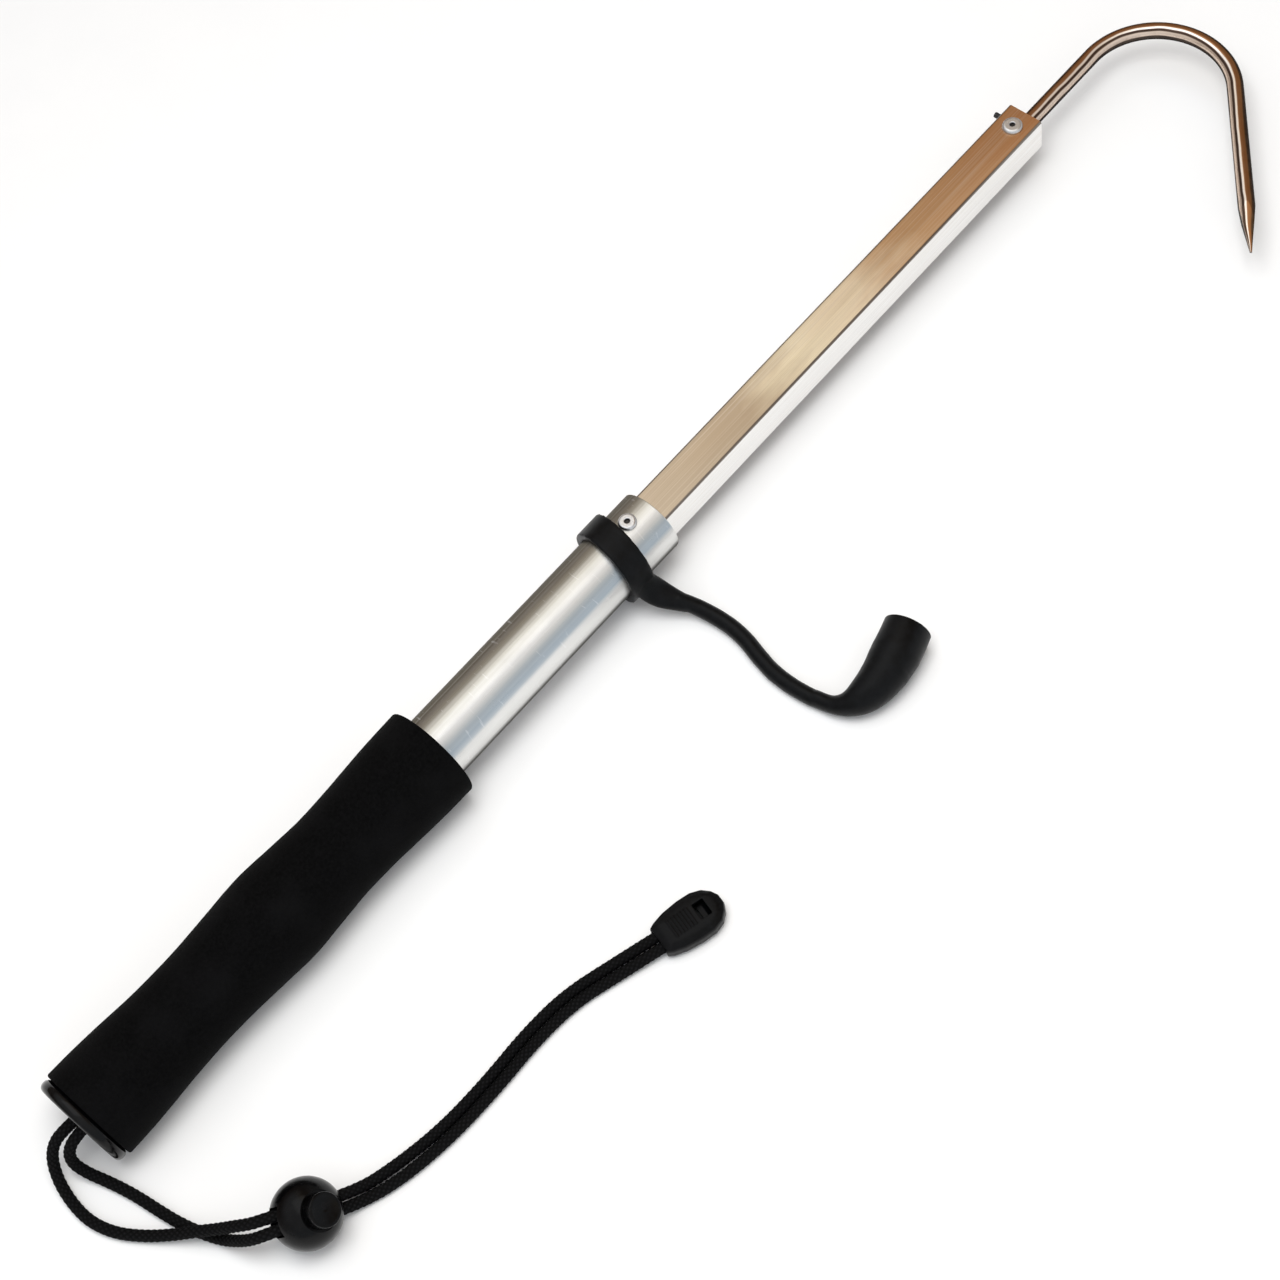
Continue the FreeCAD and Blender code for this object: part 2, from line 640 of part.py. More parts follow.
# ---------------------------------------------------------------- cord lock
# A ball with a spring button. The button points up and forward from the table,
# and the two strands of the cord go through both, side by side.
BALL = V(-257.35, -31.93, 11.75)
ALONG = V(0.7803, -0.2848, -0.5569)     # the way the cord goes through
BUTTON = V(0.3280, -0.5718, 0.7520)     # the way the button points
ALONG = (ALONG - BUTTON * ALONG.dot(BUTTON))
ALONG.normalize()
SIDE = BUTTON.cross(ALONG)
lock_rot = FreeCAD.Rotation(ALONG, SIDE, BUTTON, "XYZ")
lock_at = FreeCAD.Placement(BALL, lock_rot)


def prim(kind, name, **sizes):
    o = doc.addObject(kind, name)
    for k, q in sizes.items():
        q = Q.of(q)
        setattr(o, k, q.v)
        if "Sizes." in q.e:
            o.setExpression(k, q.e)
    return o


def box(name, x0, y0, z0, lx, ly, lz):
    o = prim("Part::Box", name, Length=lx, Width=ly, Height=lz)
    x0, y0, z0 = Q.of(x0), Q.of(y0), Q.of(z0)
    o.Placement = FreeCAD.Placement(V(x0.v, y0.v, z0.v), FreeCAD.Rotation())
    for ax, q in zip("xyz", (x0, y0, z0)):
        if "Sizes." in q.e:
            o.setExpression("Placement.Base." + ax, q.e)
    return o


def rod(name, radius, height, z0, rot=None, base=None):
    o = prim("Part::Cylinder", name, Radius=radius, Height=height)
    z0 = Q.of(z0)
    o.Placement = FreeCAD.Placement(base or V(0, 0, z0.v), rot or FreeCAD.Rotation())
    if base is None and "Sizes." in z0.e:
        o.setExpression("Placement.Base.z", z0.e)
    return o


def join(kind, name, shapes):
    o = doc.addObject("Part::MultiFuse", name)
    o.Shapes = shapes
    return o


def cut(name, base, tool):
    doc.recompute()
    before = base.Shape.Volume
    o = doc.addObject("Part::Cut", name)
    o.Base = base
    o.Tool = tool
    doc.recompute()
    if before - o.Shape.Volume < 0.02:
        raise RuntimeError("%s cut nothing" % name)
    return o


def fuse(name, shapes):
    o = doc.addObject("Part::MultiFuse", name)
    o.Shapes = shapes
    doc.recompute()
    return o


ball = prim("Part::Sphere", "lock_ball", Radius=d.ball_rad)
bore_rod = rod("lock_bore", d.plunger_bore, d.bore_floor + d.ball_rad + 2, -d.bore_floor)
rim_rod = rod("lock_rim", d.plunger_bore + 0.9, 6.0, d.ball_rad - 2.6)
hole = box("lock_cord_hole", -(d.ball_rad + 2), -d.slot_half, -2.3, (d.ball_rad + 2) * 2, d.slot_half * 2, 4.6)
mouth_in = box("lock_mouth_in", -(d.ball_rad + 3), -(d.slot_half + 0.4), -4.3, 9.2, d.slot_half * 2 + 0.8, 7.0)
mouth_out = box("lock_mouth_out", d.ball_rad - 3.2, -(d.slot_half + 0.9), -2.3, 6.2, d.slot_half * 2 + 1.8, 5.6)
tools = fuse("lock_voids", [bore_rod, rim_rod, hole, mouth_in, mouth_out])
o = cut("cord_lock_body", ball, tools)
o.Label = "cord_lock_body"
o.Placement = lock_at
keep(o)

barrel = rod("button_barrel", d.plunger_rad, d.plunger_high + d.plunger_low, -d.plunger_low)
slot = box("button_slot", -(d.plunger_rad + 1), -d.slot_half, -d.slot_low, (d.plunger_rad + 1) * 2,
           d.slot_half * 2, d.slot_low + d.slot_high)
seat = rod("button_seat", 3.7, 1.5, -(d.plunger_low + 0.5))
dish = prim("Part::Sphere", "button_dish", Radius=24.0)
dish.Placement = FreeCAD.Placement(V(0, 0, n("plunger_high") + 24.0 - 0.45), FreeCAD.Rotation())
o = cut("button_cut", barrel, fuse("button_voids", [slot, seat, dish]))
doc.recompute()
f = doc.addObject("Part::Fillet", "cord_lock_button")
f.Base = o
hi_v = n("plunger_high")
ids = [i + 1 for i, e in enumerate(o.Shape.Edges)
       if hasattr(curve(e), "Radius") and abs(curve(e).Radius - n("plunger_rad")) < 0.01
       and abs(e.BoundBox.ZMin - hi_v) < 0.01 and e.BoundBox.ZLength < 0.01]
f.Edges = [(i, 0.5, 0.5) for i in ids]
doc.recompute()
f.Label = "cord_lock_button"
f.Placement = lock_at
keep(f)

# Spring of square wire under the button, drawn at its length with the button up.
spr = Part.makeHelix(1.09, 5.45, 2.9)
w = Part.Wire(spr.Edges)
hw = 0.2
prof = Part.makePolygon([V(2.9 - hw, 0, -hw), V(2.9 + hw, 0, -hw), V(2.9 + hw, 0, hw), V(2.9 - hw, 0, hw), V(2.9 - hw, 0, -hw)])
coil = w.makePipeShell([prof], True, True)
if coil.Volume < 0:
    coil.reverse()
o = doc.addObject("Part::Feature", "cord_lock_spring")
o.Label = "cord_lock_spring"
o.Shape = coil
o.Placement = lock_at.multiply(FreeCAD.Placement(V(0, 0, -n("bore_floor") + 0.24), FreeCAD.Rotation()))
keep(o)

# ---------------------------------------------------------------- wrist cord
# Two strands of one braided cord, from the knot in the cap, through the lock,
# to the cord end. Route points on the table and over each other.
STRAND_OUTER = [
    (-282.5, 46.65, 18.5), (-288.8, 47.4, 18.1), (-294.4, 48.8, 14.5), (-298.8, 48.2, 8.7),
    (-302.4, 43.6, 3.8), (-304.5, 36.0, 2.05), (-305.0, 26.2, 2.05), (-302.0, 16.4, 2.05),
    (-296.2, 7.7, 2.3), (-289.8, 0.0, 4.2), (-284.4, -6.0, 6.8), (-279.2, -12.2, 9.6),
    (-275.2, -17.4, 13.7), (-271.4, -22.0, 16.5), (-267.1, -25.2, 17.7), (-261.7, -28.3, 16.4),
    (-241.5, -35.65, 2.05), (-228.3, -39.7, 2.05), (-209.3, -43.2, 2.05), (-188.3, -43.8, 2.05),
    (-169.3, -42.9, 2.05), (-151.0, -44.0, 2.05), (-133.4, -49.2, 2.05), (-114.8, -55.8, 4.0)]
STRAND_INNER = [
    (-282.5, 42.55, 18.5), (-288.5, 42.8, 17.9), (-293.2, 43.3, 13.9), (-295.4, 42.2, 7.9),
    (-294.4, 37.6, 3.2), (-291.8, 30.2, 2.05), (-289.4, 21.0, 2.05), (-287.8, 11.2, 2.05),
    (-286.2, 2.6, 2.05), (-283.7, -5.6, 2.05), (-280.8, -13.0, 3.1), (-277.7, -19.4, 7.9),
    (-274.4, -24.8, 13.1), (-269.7, -28.7, 16.1), (-263.6, -31.7, 14.6), (-245.95, -38.15, 2.05),
    (-231.3, -44.0, 2.05), (-210.3, -47.4, 2.05), (-188.3, -47.95, 2.05), (-168.8, -47.1, 2.05),
    (-150.3, -48.45, 2.05), (-134.7, -53.4, 2.05), (-116.2, -59.85, 4.0)]
for label, pts in (("lanyard_strand_outer", STRAND_OUTER), ("lanyard_strand_inner", STRAND_INNER)):
    o = doc.addObject("Part::Feature", label)
    o.Label = label
    o.Shape = tube_along(pts, n("cord_dia"), label)
    o.Placement = FreeCAD.Placement(V(0, 0, 0), FreeCAD.Rotation())
    keep(o)

# ---------------------------------------------------------------- cord end
# Egg-shaped two-piece cord end: a shell with a window and finger ribs, and a
# latch tongue inside that shows in the window. It lies flat.
END_AT = V(-117.9, -57.2, 4.0)
END_TURN = FreeCAD.Rotation(V(0, 0, 1), -15.0)
end_place = FreeCAD.Placement(END_AT, END_TURN)
b = body("cord_end_shell")
sk = sketch(b, "cord_end_outline", "XY_Plane")
L, H, M = d.end_len, d.end_half, d.end_mouth_half
half = [(0.0, M), (L * 0.08, H - 1.85), (L * 0.25, H - 0.65), (L * 0.50, H), (L * 0.70, H - 0.15),
        (L * 0.85, H - 1.5), (L * 0.95, H - 3.9), (L, H - 6.4)]
outline(sk, [(px, -py) for px, py in half] + [(px, py) for px, py in reversed(half)])
pad(b, "cord_end_block", sk, d.end_thick, mid=True)
tz = n("end_thick") / 2
fillet(b, "cord_end_round",
       lambda e: abs(abs(e.CenterOfMass.z) - tz) < 0.01 and e.BoundBox.ZLength < 0.01, d.end_round)
sk = sketch(b, "cord_end_cavity_plan", "XY_Plane")
rect(sk, -1.0, -4.4, 20.6, 4.4)
pocket(b, "cord_end_cavity", sk, 4.6, mid=True)
sk = sketch(b, "cord_end_window_plan", "XY_Plane")
rect(sk, 15.6, -3.1, 19.8, 3.1)
pocket(b, "cord_end_window", sk, 6.0, back=True)
doc.recompute()
ribs = b.newObject("Sketcher::SketchObject", "cord_end_rib_plan")
ribs.AttachmentSupport = [(plane(b, "XY_Plane"), "")]
ribs.MapMode = "FlatFace"
for i in range(7):
    x = 5.6 + 1.25 * i
    rect(ribs, x, -3.4, x + 0.55, 3.4)
doc.recompute()
rp = b.newObject("PartDesign::Pad", "cord_end_ribs")
rp.Profile = ribs
rp.Type = "Length"
rp.Length = n("end_thick") / 2 + 0.25
rp.setExpression("Length", "Sizes.end_thick / 2 + 0.25")
doc.recompute()
sk = sketch(b, "cord_end_cavity_again", "XY_Plane")
rect(sk, 0.5, -4.4, 20.6, 4.4)
pocket(b, "cord_end_cavity_clear", sk, 4.6, mid=True)
b.Placement = end_place
keep(b)

# Latch tongue behind the window.
b = body("cord_end_latch")
sk = sketch(b, "cord_end_latch_side", "XZ_Plane")
outline(sk, [(12.4, -2.2), (20.4, -2.2), (20.4, -0.6), (18.6, 0.9), (16.8, 0.9), (16.8, -0.4), (12.4, -0.4)])
pad(b, "cord_end_latch_body", sk, 5.2, mid=True)
b.Placement = end_place
keep(b)

# Heat-sealed knots at the strand ends, inside the shell.
k1 = prim("Part::Sphere", "cord_end_knot_left", Radius=2.15)
k2 = prim("Part::Sphere", "cord_end_knot_right", Radius=2.15)
k1.Placement = FreeCAD.Placement(V(4.75, 2.17, 0.0), FreeCAD.Rotation())
k2.Placement = FreeCAD.Placement(V(4.75, -2.17, 0.0), FreeCAD.Rotation())
o = doc.addObject("Part::Compound", "cord_end_knots")
o.Links = [k1, k2]
o.Label = "cord_end_knots"
o.Placement = end_place
keep(o)

# ---------------------------------------------------------------- check and write
doc.recompute()
bad = [o.Name + " " + str(o.State) for o in doc.Objects if "Invalid" in o.State or "Error" in o.State]
if bad:
    raise RuntimeError("failed objects: " + "; ".join(bad))
total = 0
for p in parts:
    s = p.Shape
    if s.isNull() or not s.isValid() or not s.Solids:
        raise RuntimeError("%s has no valid solid" % p.Label)
    if p.Label not in ("cord_end_knots",) and len(s.Solids) != 1:
        raise RuntimeError("%s has %d solids" % (p.Label, len(s.Solids)))
    bb = s.BoundBox
    total += s.Volume
    print("%-22s %9.1f mm3  x %.2f..%.2f  y %.2f..%.2f  z %.2f..%.2f" %
          (p.Label, s.Volume, bb.XMin, bb.XMax, bb.YMin, bb.YMax, bb.ZMin, bb.ZMax))
for p in parts:
    p.Shape.exportStep("parts/" + p.Label + ".step")
print(len(parts), "sub-parts,", round(total), "mm3")
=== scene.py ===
import bpy
import bmesh
import math
import numpy as np
from mathutils import Vector, Matrix


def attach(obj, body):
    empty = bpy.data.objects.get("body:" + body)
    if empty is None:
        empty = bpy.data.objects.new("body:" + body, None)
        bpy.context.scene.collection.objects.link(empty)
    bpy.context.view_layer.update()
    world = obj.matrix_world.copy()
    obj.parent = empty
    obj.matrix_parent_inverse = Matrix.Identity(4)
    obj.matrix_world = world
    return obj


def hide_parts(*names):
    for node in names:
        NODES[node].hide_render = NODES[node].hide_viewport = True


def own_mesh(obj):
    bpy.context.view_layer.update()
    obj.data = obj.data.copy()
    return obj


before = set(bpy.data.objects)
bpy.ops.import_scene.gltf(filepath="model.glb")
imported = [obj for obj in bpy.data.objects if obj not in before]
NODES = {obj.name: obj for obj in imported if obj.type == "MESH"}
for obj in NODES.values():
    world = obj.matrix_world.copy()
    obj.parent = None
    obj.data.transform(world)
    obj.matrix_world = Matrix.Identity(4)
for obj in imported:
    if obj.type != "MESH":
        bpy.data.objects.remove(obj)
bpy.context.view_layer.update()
MM = 0.001
AX = np.array([-0.003, 0.0446, 0.0185])      # mouth of the round tube, on its axis


# ------------------------------------------------------------------ nodes
class Mat:
    """A material with a few short cuts for its nodes."""

    def __init__(self, name, color, rough=0.5, metal=0.0, **sockets):
        self.m = bpy.data.materials.new(name)
        self.m.use_nodes = True
        self.t = self.m.node_tree
        self.b = self.t.nodes["Principled BSDF"]
        self.b.inputs["Base Color"].default_value = (*color, 1)
        self.b.inputs["Roughness"].default_value = rough
        self.b.inputs["Metallic"].default_value = metal
        for k, v in sockets.items():
            self.b.inputs[k.replace("_", " ")].default_value = v

    def new(self, kind, **kw):
        nd = self.t.nodes.new(kind)
        for k, v in kw.items():
            setattr(nd, k, v)
        return nd

    def link(self, a, b):
        self.t.links.new(a, b)

    def put(self, socket, value):
        if isinstance(value, (int, float)):
            socket.default_value = value
        elif isinstance(value, (tuple, list)):
            socket.default_value = value
        else:
            self.link(value, socket)

    def coord(self, scale=(1, 1, 1), offset=(0, 0, 0)):
        c = self.new("ShaderNodeTexCoord")
        mp = self.new("ShaderNodeMapping")
        mp.inputs["Scale"].default_value = scale
        mp.inputs["Location"].default_value = offset
        self.link(c.outputs["Object"], mp.inputs["Vector"])
        return mp.outputs["Vector"]

    def axial(self, scale=(1, 1, 1), centre=(0.0446, 0.0185)):
        """(x, angle, radius) round the tube's axis, scaled."""
        c = self.new("ShaderNodeTexCoord")
        s = self.new("ShaderNodeSeparateXYZ")
        self.link(c.outputs["Object"], s.inputs[0])
        y = self.math("SUBTRACT", s.outputs[1], centre[0])
        z = self.math("SUBTRACT", s.outputs[2], centre[1])
        ang = self.math("ARCTAN2", z, y)
        # a point on a ring, so that there is no seam
        cy = self.math("MULTIPLY", self.math("COSINE", ang), scale[1])
        cz = self.math("MULTIPLY", self.math("SINE", ang), scale[1])
        x = self.math("MULTIPLY", s.outputs[0], scale[0])
        j = self.new("ShaderNodeCombineXYZ")
        self.link(x, j.inputs[0])
        self.link(cy, j.inputs[1])
        self.link(cz, j.inputs[2])
        return j.outputs[0]

    def xyz(self):
        c = self.new("ShaderNodeTexCoord")
        s = self.new("ShaderNodeSeparateXYZ")
        self.link(c.outputs["Object"], s.inputs[0])
        return s.outputs

    def math(self, op, a, b=0.0, clamp=False):
        nd = self.new("ShaderNodeMath", operation=op)
        nd.use_clamp = clamp
        self.put(nd.inputs[0], a)
        self.put(nd.inputs[1], b)
        return nd.outputs[0]

    def noise(self, vec, scale, detail=2.0, rough=0.5, dist=0.0):
        nd = self.new("ShaderNodeTexNoise")
        self.put(nd.inputs["Vector"], vec)
        nd.inputs["Scale"].default_value = scale
        nd.inputs["Detail"].default_value = detail
        nd.inputs["Roughness"].default_value = rough
        nd.inputs["Distortion"].default_value = dist
        return nd.outputs["Fac"]

    def voronoi(self, vec, scale, feature="F1"):
        nd = self.new("ShaderNodeTexVoronoi", feature=feature)
        self.put(nd.inputs["Vector"], vec)
        nd.inputs["Scale"].default_value = scale
        return nd.outputs["Distance"]

    def remap(self, v, a, b, c, d):
        nd = self.new("ShaderNodeMapRange")
        self.put(nd.inputs["Value"], v)
        for i, k in enumerate((a, b, c, d)):
            nd.inputs[i + 1].default_value = k
        return nd.outputs[0]

    def ramp(self, v, stops):
        nd = self.new("ShaderNodeValToRGB")
        self.put(nd.inputs[0], v)
        e = nd.color_ramp.elements
        e[0].position, e[0].color = stops[0][0], (*stops[0][1], 1)
        e[1].position, e[1].color = stops[-1][0], (*stops[-1][1], 1)
        for p, c in stops[1:-1]:
            el = e.new(p)
            el.color = (*c, 1)
        return nd.outputs[0]

    def mix(self, f, a, b, kind="MIX"):
        nd = self.new("ShaderNodeMix", data_type="RGBA", blend_type=kind)
        self.put(nd.inputs[0], f)
        for i, v in ((6, a), (7, b)):
            if isinstance(v, tuple) and len(v) == 3:
                v = (*v, 1)
            self.put(nd.inputs[i], v)
        return nd.outputs[2]

    def bump(self, height, strength=0.3, distance=0.0002, normal=None):
        nd = self.new("ShaderNodeBump")
        nd.inputs["Strength"].default_value = strength
        nd.inputs["Distance"].default_value = distance
        self.put(nd.inputs["Height"], height)
        if normal is not None:
            self.link(normal, nd.inputs["Normal"])
        self.link(nd.outputs[0], self.b.inputs["Normal"])
        return nd.outputs[0]

    def color(self, v):
        self.put(self.b.inputs["Base Color"], v)

    def rough(self, v):
        self.put(self.b.inputs["Roughness"], v)


# ------------------------------------------------------------------ meshes
def build(name, verts, faces, smooth=True):
    me = bpy.data.meshes.new(name)
    verts = np.asarray(verts, np.float64)
    faces = [list(map(int, f)) for f in faces]
    me.from_pydata([tuple(v) for v in verts], [], faces)
    me.update()
    if smooth:
        me.polygons.foreach_set("use_smooth", np.ones(len(me.polygons), bool))
    ob = bpy.data.objects.new(name, me)
    bpy.context.scene.collection.objects.link(ob)
    return ob


def grid_faces(n, m, closed=True, off=0):
    """Quads between n rings of m points."""
    i = np.arange(n - 1)[:, None]
    j = np.arange(m if closed else m - 1)[None, :]
    a = i * m + j
    b = i * m + (j + 1) % m
    return (np.stack([a, b, b + m, a + m], -1).reshape(-1, 4) + off).tolist()


def fan(ring, centre, flip=False):
    k = len(ring)
    f = [[ring[i], ring[(i + 1) % k], centre] for i in range(k)]
    return [q[::-1] for q in f] if flip else f


def frames_along(P):
    """Tangents and a pair of normals that don't twist, at each point."""
    T = np.gradient(P, axis=0)
    T /= np.linalg.norm(T, axis=1)[:, None]
    N = np.zeros_like(P)
    up = np.array([0, 0, 1.0]) if abs(T[0][2]) < 0.9 else np.array([0, 1.0, 0])
    n0 = up - T[0] * (up @ T[0])
    N[0] = n0 / np.linalg.norm(n0)
    for i in range(1, len(P)):
        v = N[i - 1] - T[i] * (N[i - 1] @ T[i])
        N[i] = v / np.linalg.norm(v)
    return T, N, np.cross(T, N)


def nurbs_points(name, pts, res=48):
    """The smooth line of a route: a NURBS spline on its points, as Blender gives it."""
    cu = bpy.data.curves.new(name, "CURVE")
    cu.dimensions = "3D"
    sp = cu.splines.new("NURBS")
    sp.points.add(len(pts) - 1)
    for p, q in zip(sp.points, pts):
        p.co = (*q, 1.0)
    sp.order_u = 3
    sp.use_endpoint_u = True
    cu.resolution_u = res
    ob = bpy.data.objects.new(name, cu)
    bpy.context.scene.collection.objects.link(ob)
    bpy.context.view_layer.update()
    me = bpy.data.meshes.new_from_object(ob)
    P = np.zeros(len(me.vertices) * 3)
    me.vertices.foreach_get("co", P)
    P = P.reshape(-1, 3)
    bpy.data.objects.remove(ob)
    bpy.data.meshes.remove(me)
    keep = np.r_[True, np.linalg.norm(np.diff(P, axis=0), axis=1) > 1e-7]
    return P[keep]


def along(P):
    return np.r_[0, np.cumsum(np.linalg.norm(np.diff(P, axis=0), axis=1))]


def set_mat(ob, mat):
    ob.data.materials.clear()
    ob.data.materials.append(mat.m if isinstance(mat, Mat) else mat)


def copy_node(node, name):
    ob = bpy.data.objects.new(name, NODES[node].data.copy())
    bpy.context.scene.collection.objects.link(ob)
    return ob


def apply_all(ob):
    bpy.context.view_layer.update()
    dg = bpy.context.evaluated_depsgraph_get()
    me = bpy.data.meshes.new_from_object(ob.evaluated_get(dg))
    old = ob.data
    ob.modifiers.clear()
    ob.data = me
    bpy.data.meshes.remove(old)
    me.polygons.foreach_set("use_smooth", np.ones(len(me.polygons), bool))
    me.update()


def moulded(ob, voxel, rounds=6, factor=0.5, sub=0):
    """Turns a sharp closed mesh into a softly rounded moulding."""
    bm = bmesh.new()
    bm.from_mesh(ob.data)
    bmesh.ops.remove_doubles(bm, verts=bm.verts, dist=1e-6)
    bm.to_mesh(ob.data)
    bm.free()
    r = ob.modifiers.new("r", "REMESH")
    r.mode = "VOXEL"
    r.voxel_size = voxel
    r.adaptivity = 0.0
    s = ob.modifiers.new("s", "SMOOTH")
    s.factor = factor
    s.iterations = rounds
    apply_all(ob)


def coords(ob):
    co = np.zeros(len(ob.data.vertices) * 3)
    ob.data.vertices.foreach_get("co", co)
    return co.reshape(-1, 3)


def set_coords(ob, co):
    ob.data.vertices.foreach_set("co", np.ascontiguousarray(co).reshape(-1))
    ob.data.update()


def normals(ob):
    no = np.zeros(len(ob.data.vertices) * 3)
    ob.data.vertex_normals.foreach_get("vector", no)
    return no.reshape(-1, 3)


def rng_noise(P, freq, seed=0, octaves=3):
    """Smooth made noise at points, by a sum of seeded waves."""
    r = np.random.RandomState(seed)
    out = np.zeros(len(P))
    amp = 1.0
    for o in range(octaves):
        for k in range(6):
            d = r.normal(size=3)
            d /= np.linalg.norm(d)
            out += amp * np.sin(P @ (d * freq * (2 ** o) * (0.7 + 0.6 * r.rand())) * 2 * math.pi + r.rand() * 6.28) / 6
        amp *= 0.5
    return out


# ------------------------------------------------------------------ materials
def tube_metal():
    m = Mat("round_tube_metal", (0.74, 0.75, 0.77), 0.3, 0.85, Anisotropic=0.35, Specular_IOR_Level=0.2)
    m.b.inputs["Specular Tint"].default_value = (0.25, 0.24, 0.22, 1)
    lines = m.noise(m.axial((9.0, 420.0)), 1.0, 3.0, 0.6)
    broad = m.noise(m.axial((3.0, 9.0)), 1.0, 3.0, 0.55)
    cloud = m.noise(m.axial((60.0, 3.0)), 1.0, 4.0, 0.6)
    x, y, z = m.xyz()
    ang = m.math("ARCTAN2", m.math("SUBTRACT", z, 0.0185), m.math("SUBTRACT", y, 0.0446))
    turn = m.math("ADD", m.remap(ang, -math.pi, math.pi, -0.5, 0.5), m.remap(broad, 0.3, 0.7, -0.008, 0.008))
    # painted reflections round the tube: a dark edge, a bright painted highlight band, a blue-grey band, off-white,
    # then a dark line along the lower edge
    painted_reflection_bands = m.ramp(m.math("MODULO", m.math("ADD", turn, 1.0), 1.0), [
        (0.02, (0.09, 0.075, 0.05)), (0.14, (0.11, 0.095, 0.065)), (0.205, (0.27, 0.24, 0.175)), (0.262, (0.62, 0.61, 0.55)),
        (0.295, (0.86, 0.86, 0.84)), (0.322, (0.82, 0.83, 0.83)), (0.367, (0.40, 0.47, 0.52)), (0.398, (0.44, 0.51, 0.56)),
        (0.428, (0.82, 0.82, 0.80)), (0.50, (0.78, 0.78, 0.76)), (0.53, (0.10, 0.10, 0.10)), (0.64, (0.12, 0.12, 0.12)),
        (0.75, (0.7, 0.7, 0.7)), (0.95, (0.5, 0.48, 0.45))])
    base = m.mix(m.remap(broad, 0.3, 0.72, 0.0, 0.25), painted_reflection_bands, (0.78, 0.78, 0.79))
    c = m.mix(m.remap(lines, 0.35, 0.65, 0.0, 0.28), base, (0.52, 0.50, 0.49))
    # small scratches and scuffs across the tube
    sc = m.noise(m.coord((900, 160, 160)), 1.0, 1.0, 0.4, 0.6)
    scm = m.remap(sc, 0.70, 0.74, 0.0, 0.3)
    c = m.mix(scm, c, (0.95, 0.95, 0.96))
    m.color(c)
    m.rough(m.math("ADD", m.remap(lines, 0.3, 0.7, 0.26, 0.38), m.remap(cloud, 0.4, 0.75, 0.0, 0.10)))
    h = m.math("ADD", lines, m.math("MULTIPLY", scm, -0.8))
    m.bump(h, 0.3, 0.00003)
    return m


def square_metal():
    m = Mat("square_tube_metal", (0.72, 0.64, 0.54), 0.3, 1.0, Anisotropic=0.3)
    lines = m.noise(m.coord((22, 5200, 5200)), 1.0, 2.0, 0.6)
    lines2 = m.noise(m.coord((9, 1500, 1500)), 1.0, 2.0, 0.5)
    patch = m.noise(m.coord((34, 90, 90)), 1.0, 3.0, 0.55)
    x, y, z = m.xyz()
    xx = m.math("ADD", x, m.remap(patch, 0.3, 0.7, -0.010, 0.010))
    # painted reflection on the top face: greyer tan near the mouth, a pale gold-white painted highlight mid-length,
    # browner towards the hook
    top_painted_reflection = m.ramp(m.remap(xx, 0.0, 0.215, 0.0, 1.0),
                  [(0.0, (0.58, 0.48, 0.36)), (0.22, (0.52, 0.41, 0.29)), (0.36, (0.88, 0.78, 0.58)),
                   (0.50, (0.86, 0.73, 0.54)), (0.66, (0.58, 0.35, 0.18)), (1.0, (0.54, 0.26, 0.11))])
    geo = m.new("ShaderNodeNewGeometry")
    s = m.new("ShaderNodeSeparateXYZ")
    m.link(geo.outputs["True Normal"], s.inputs[0])
    top = m.remap(s.outputs[2], 0.90, 0.985, 0.0, 1.0)
    side = m.remap(m.math("ABSOLUTE", s.outputs[1]), 0.90, 0.985, 0.0, 1.0)
    # painted shade and reflection by face: the bevelled edges dark, the side face off-white
    c = m.mix(side, (0.16, 0.13, 0.11), (0.93, 0.93, 0.92))
    # the top face takes the painted reflection colours
    c = m.mix(top, c, top_painted_reflection)
    c = m.mix(m.remap(lines, 0.35, 0.7, 0.0, 0.30), c, (0.42, 0.34, 0.27))
    c = m.mix(m.remap(lines2, 0.5, 0.75, 0.0, 0.22), c, (0.95, 0.90, 0.80))
    m.color(c)
    m.rough(m.remap(lines, 0.3, 0.7, 0.28, 0.42))
    m.bump(lines, 0.25, 0.00003)
    return m


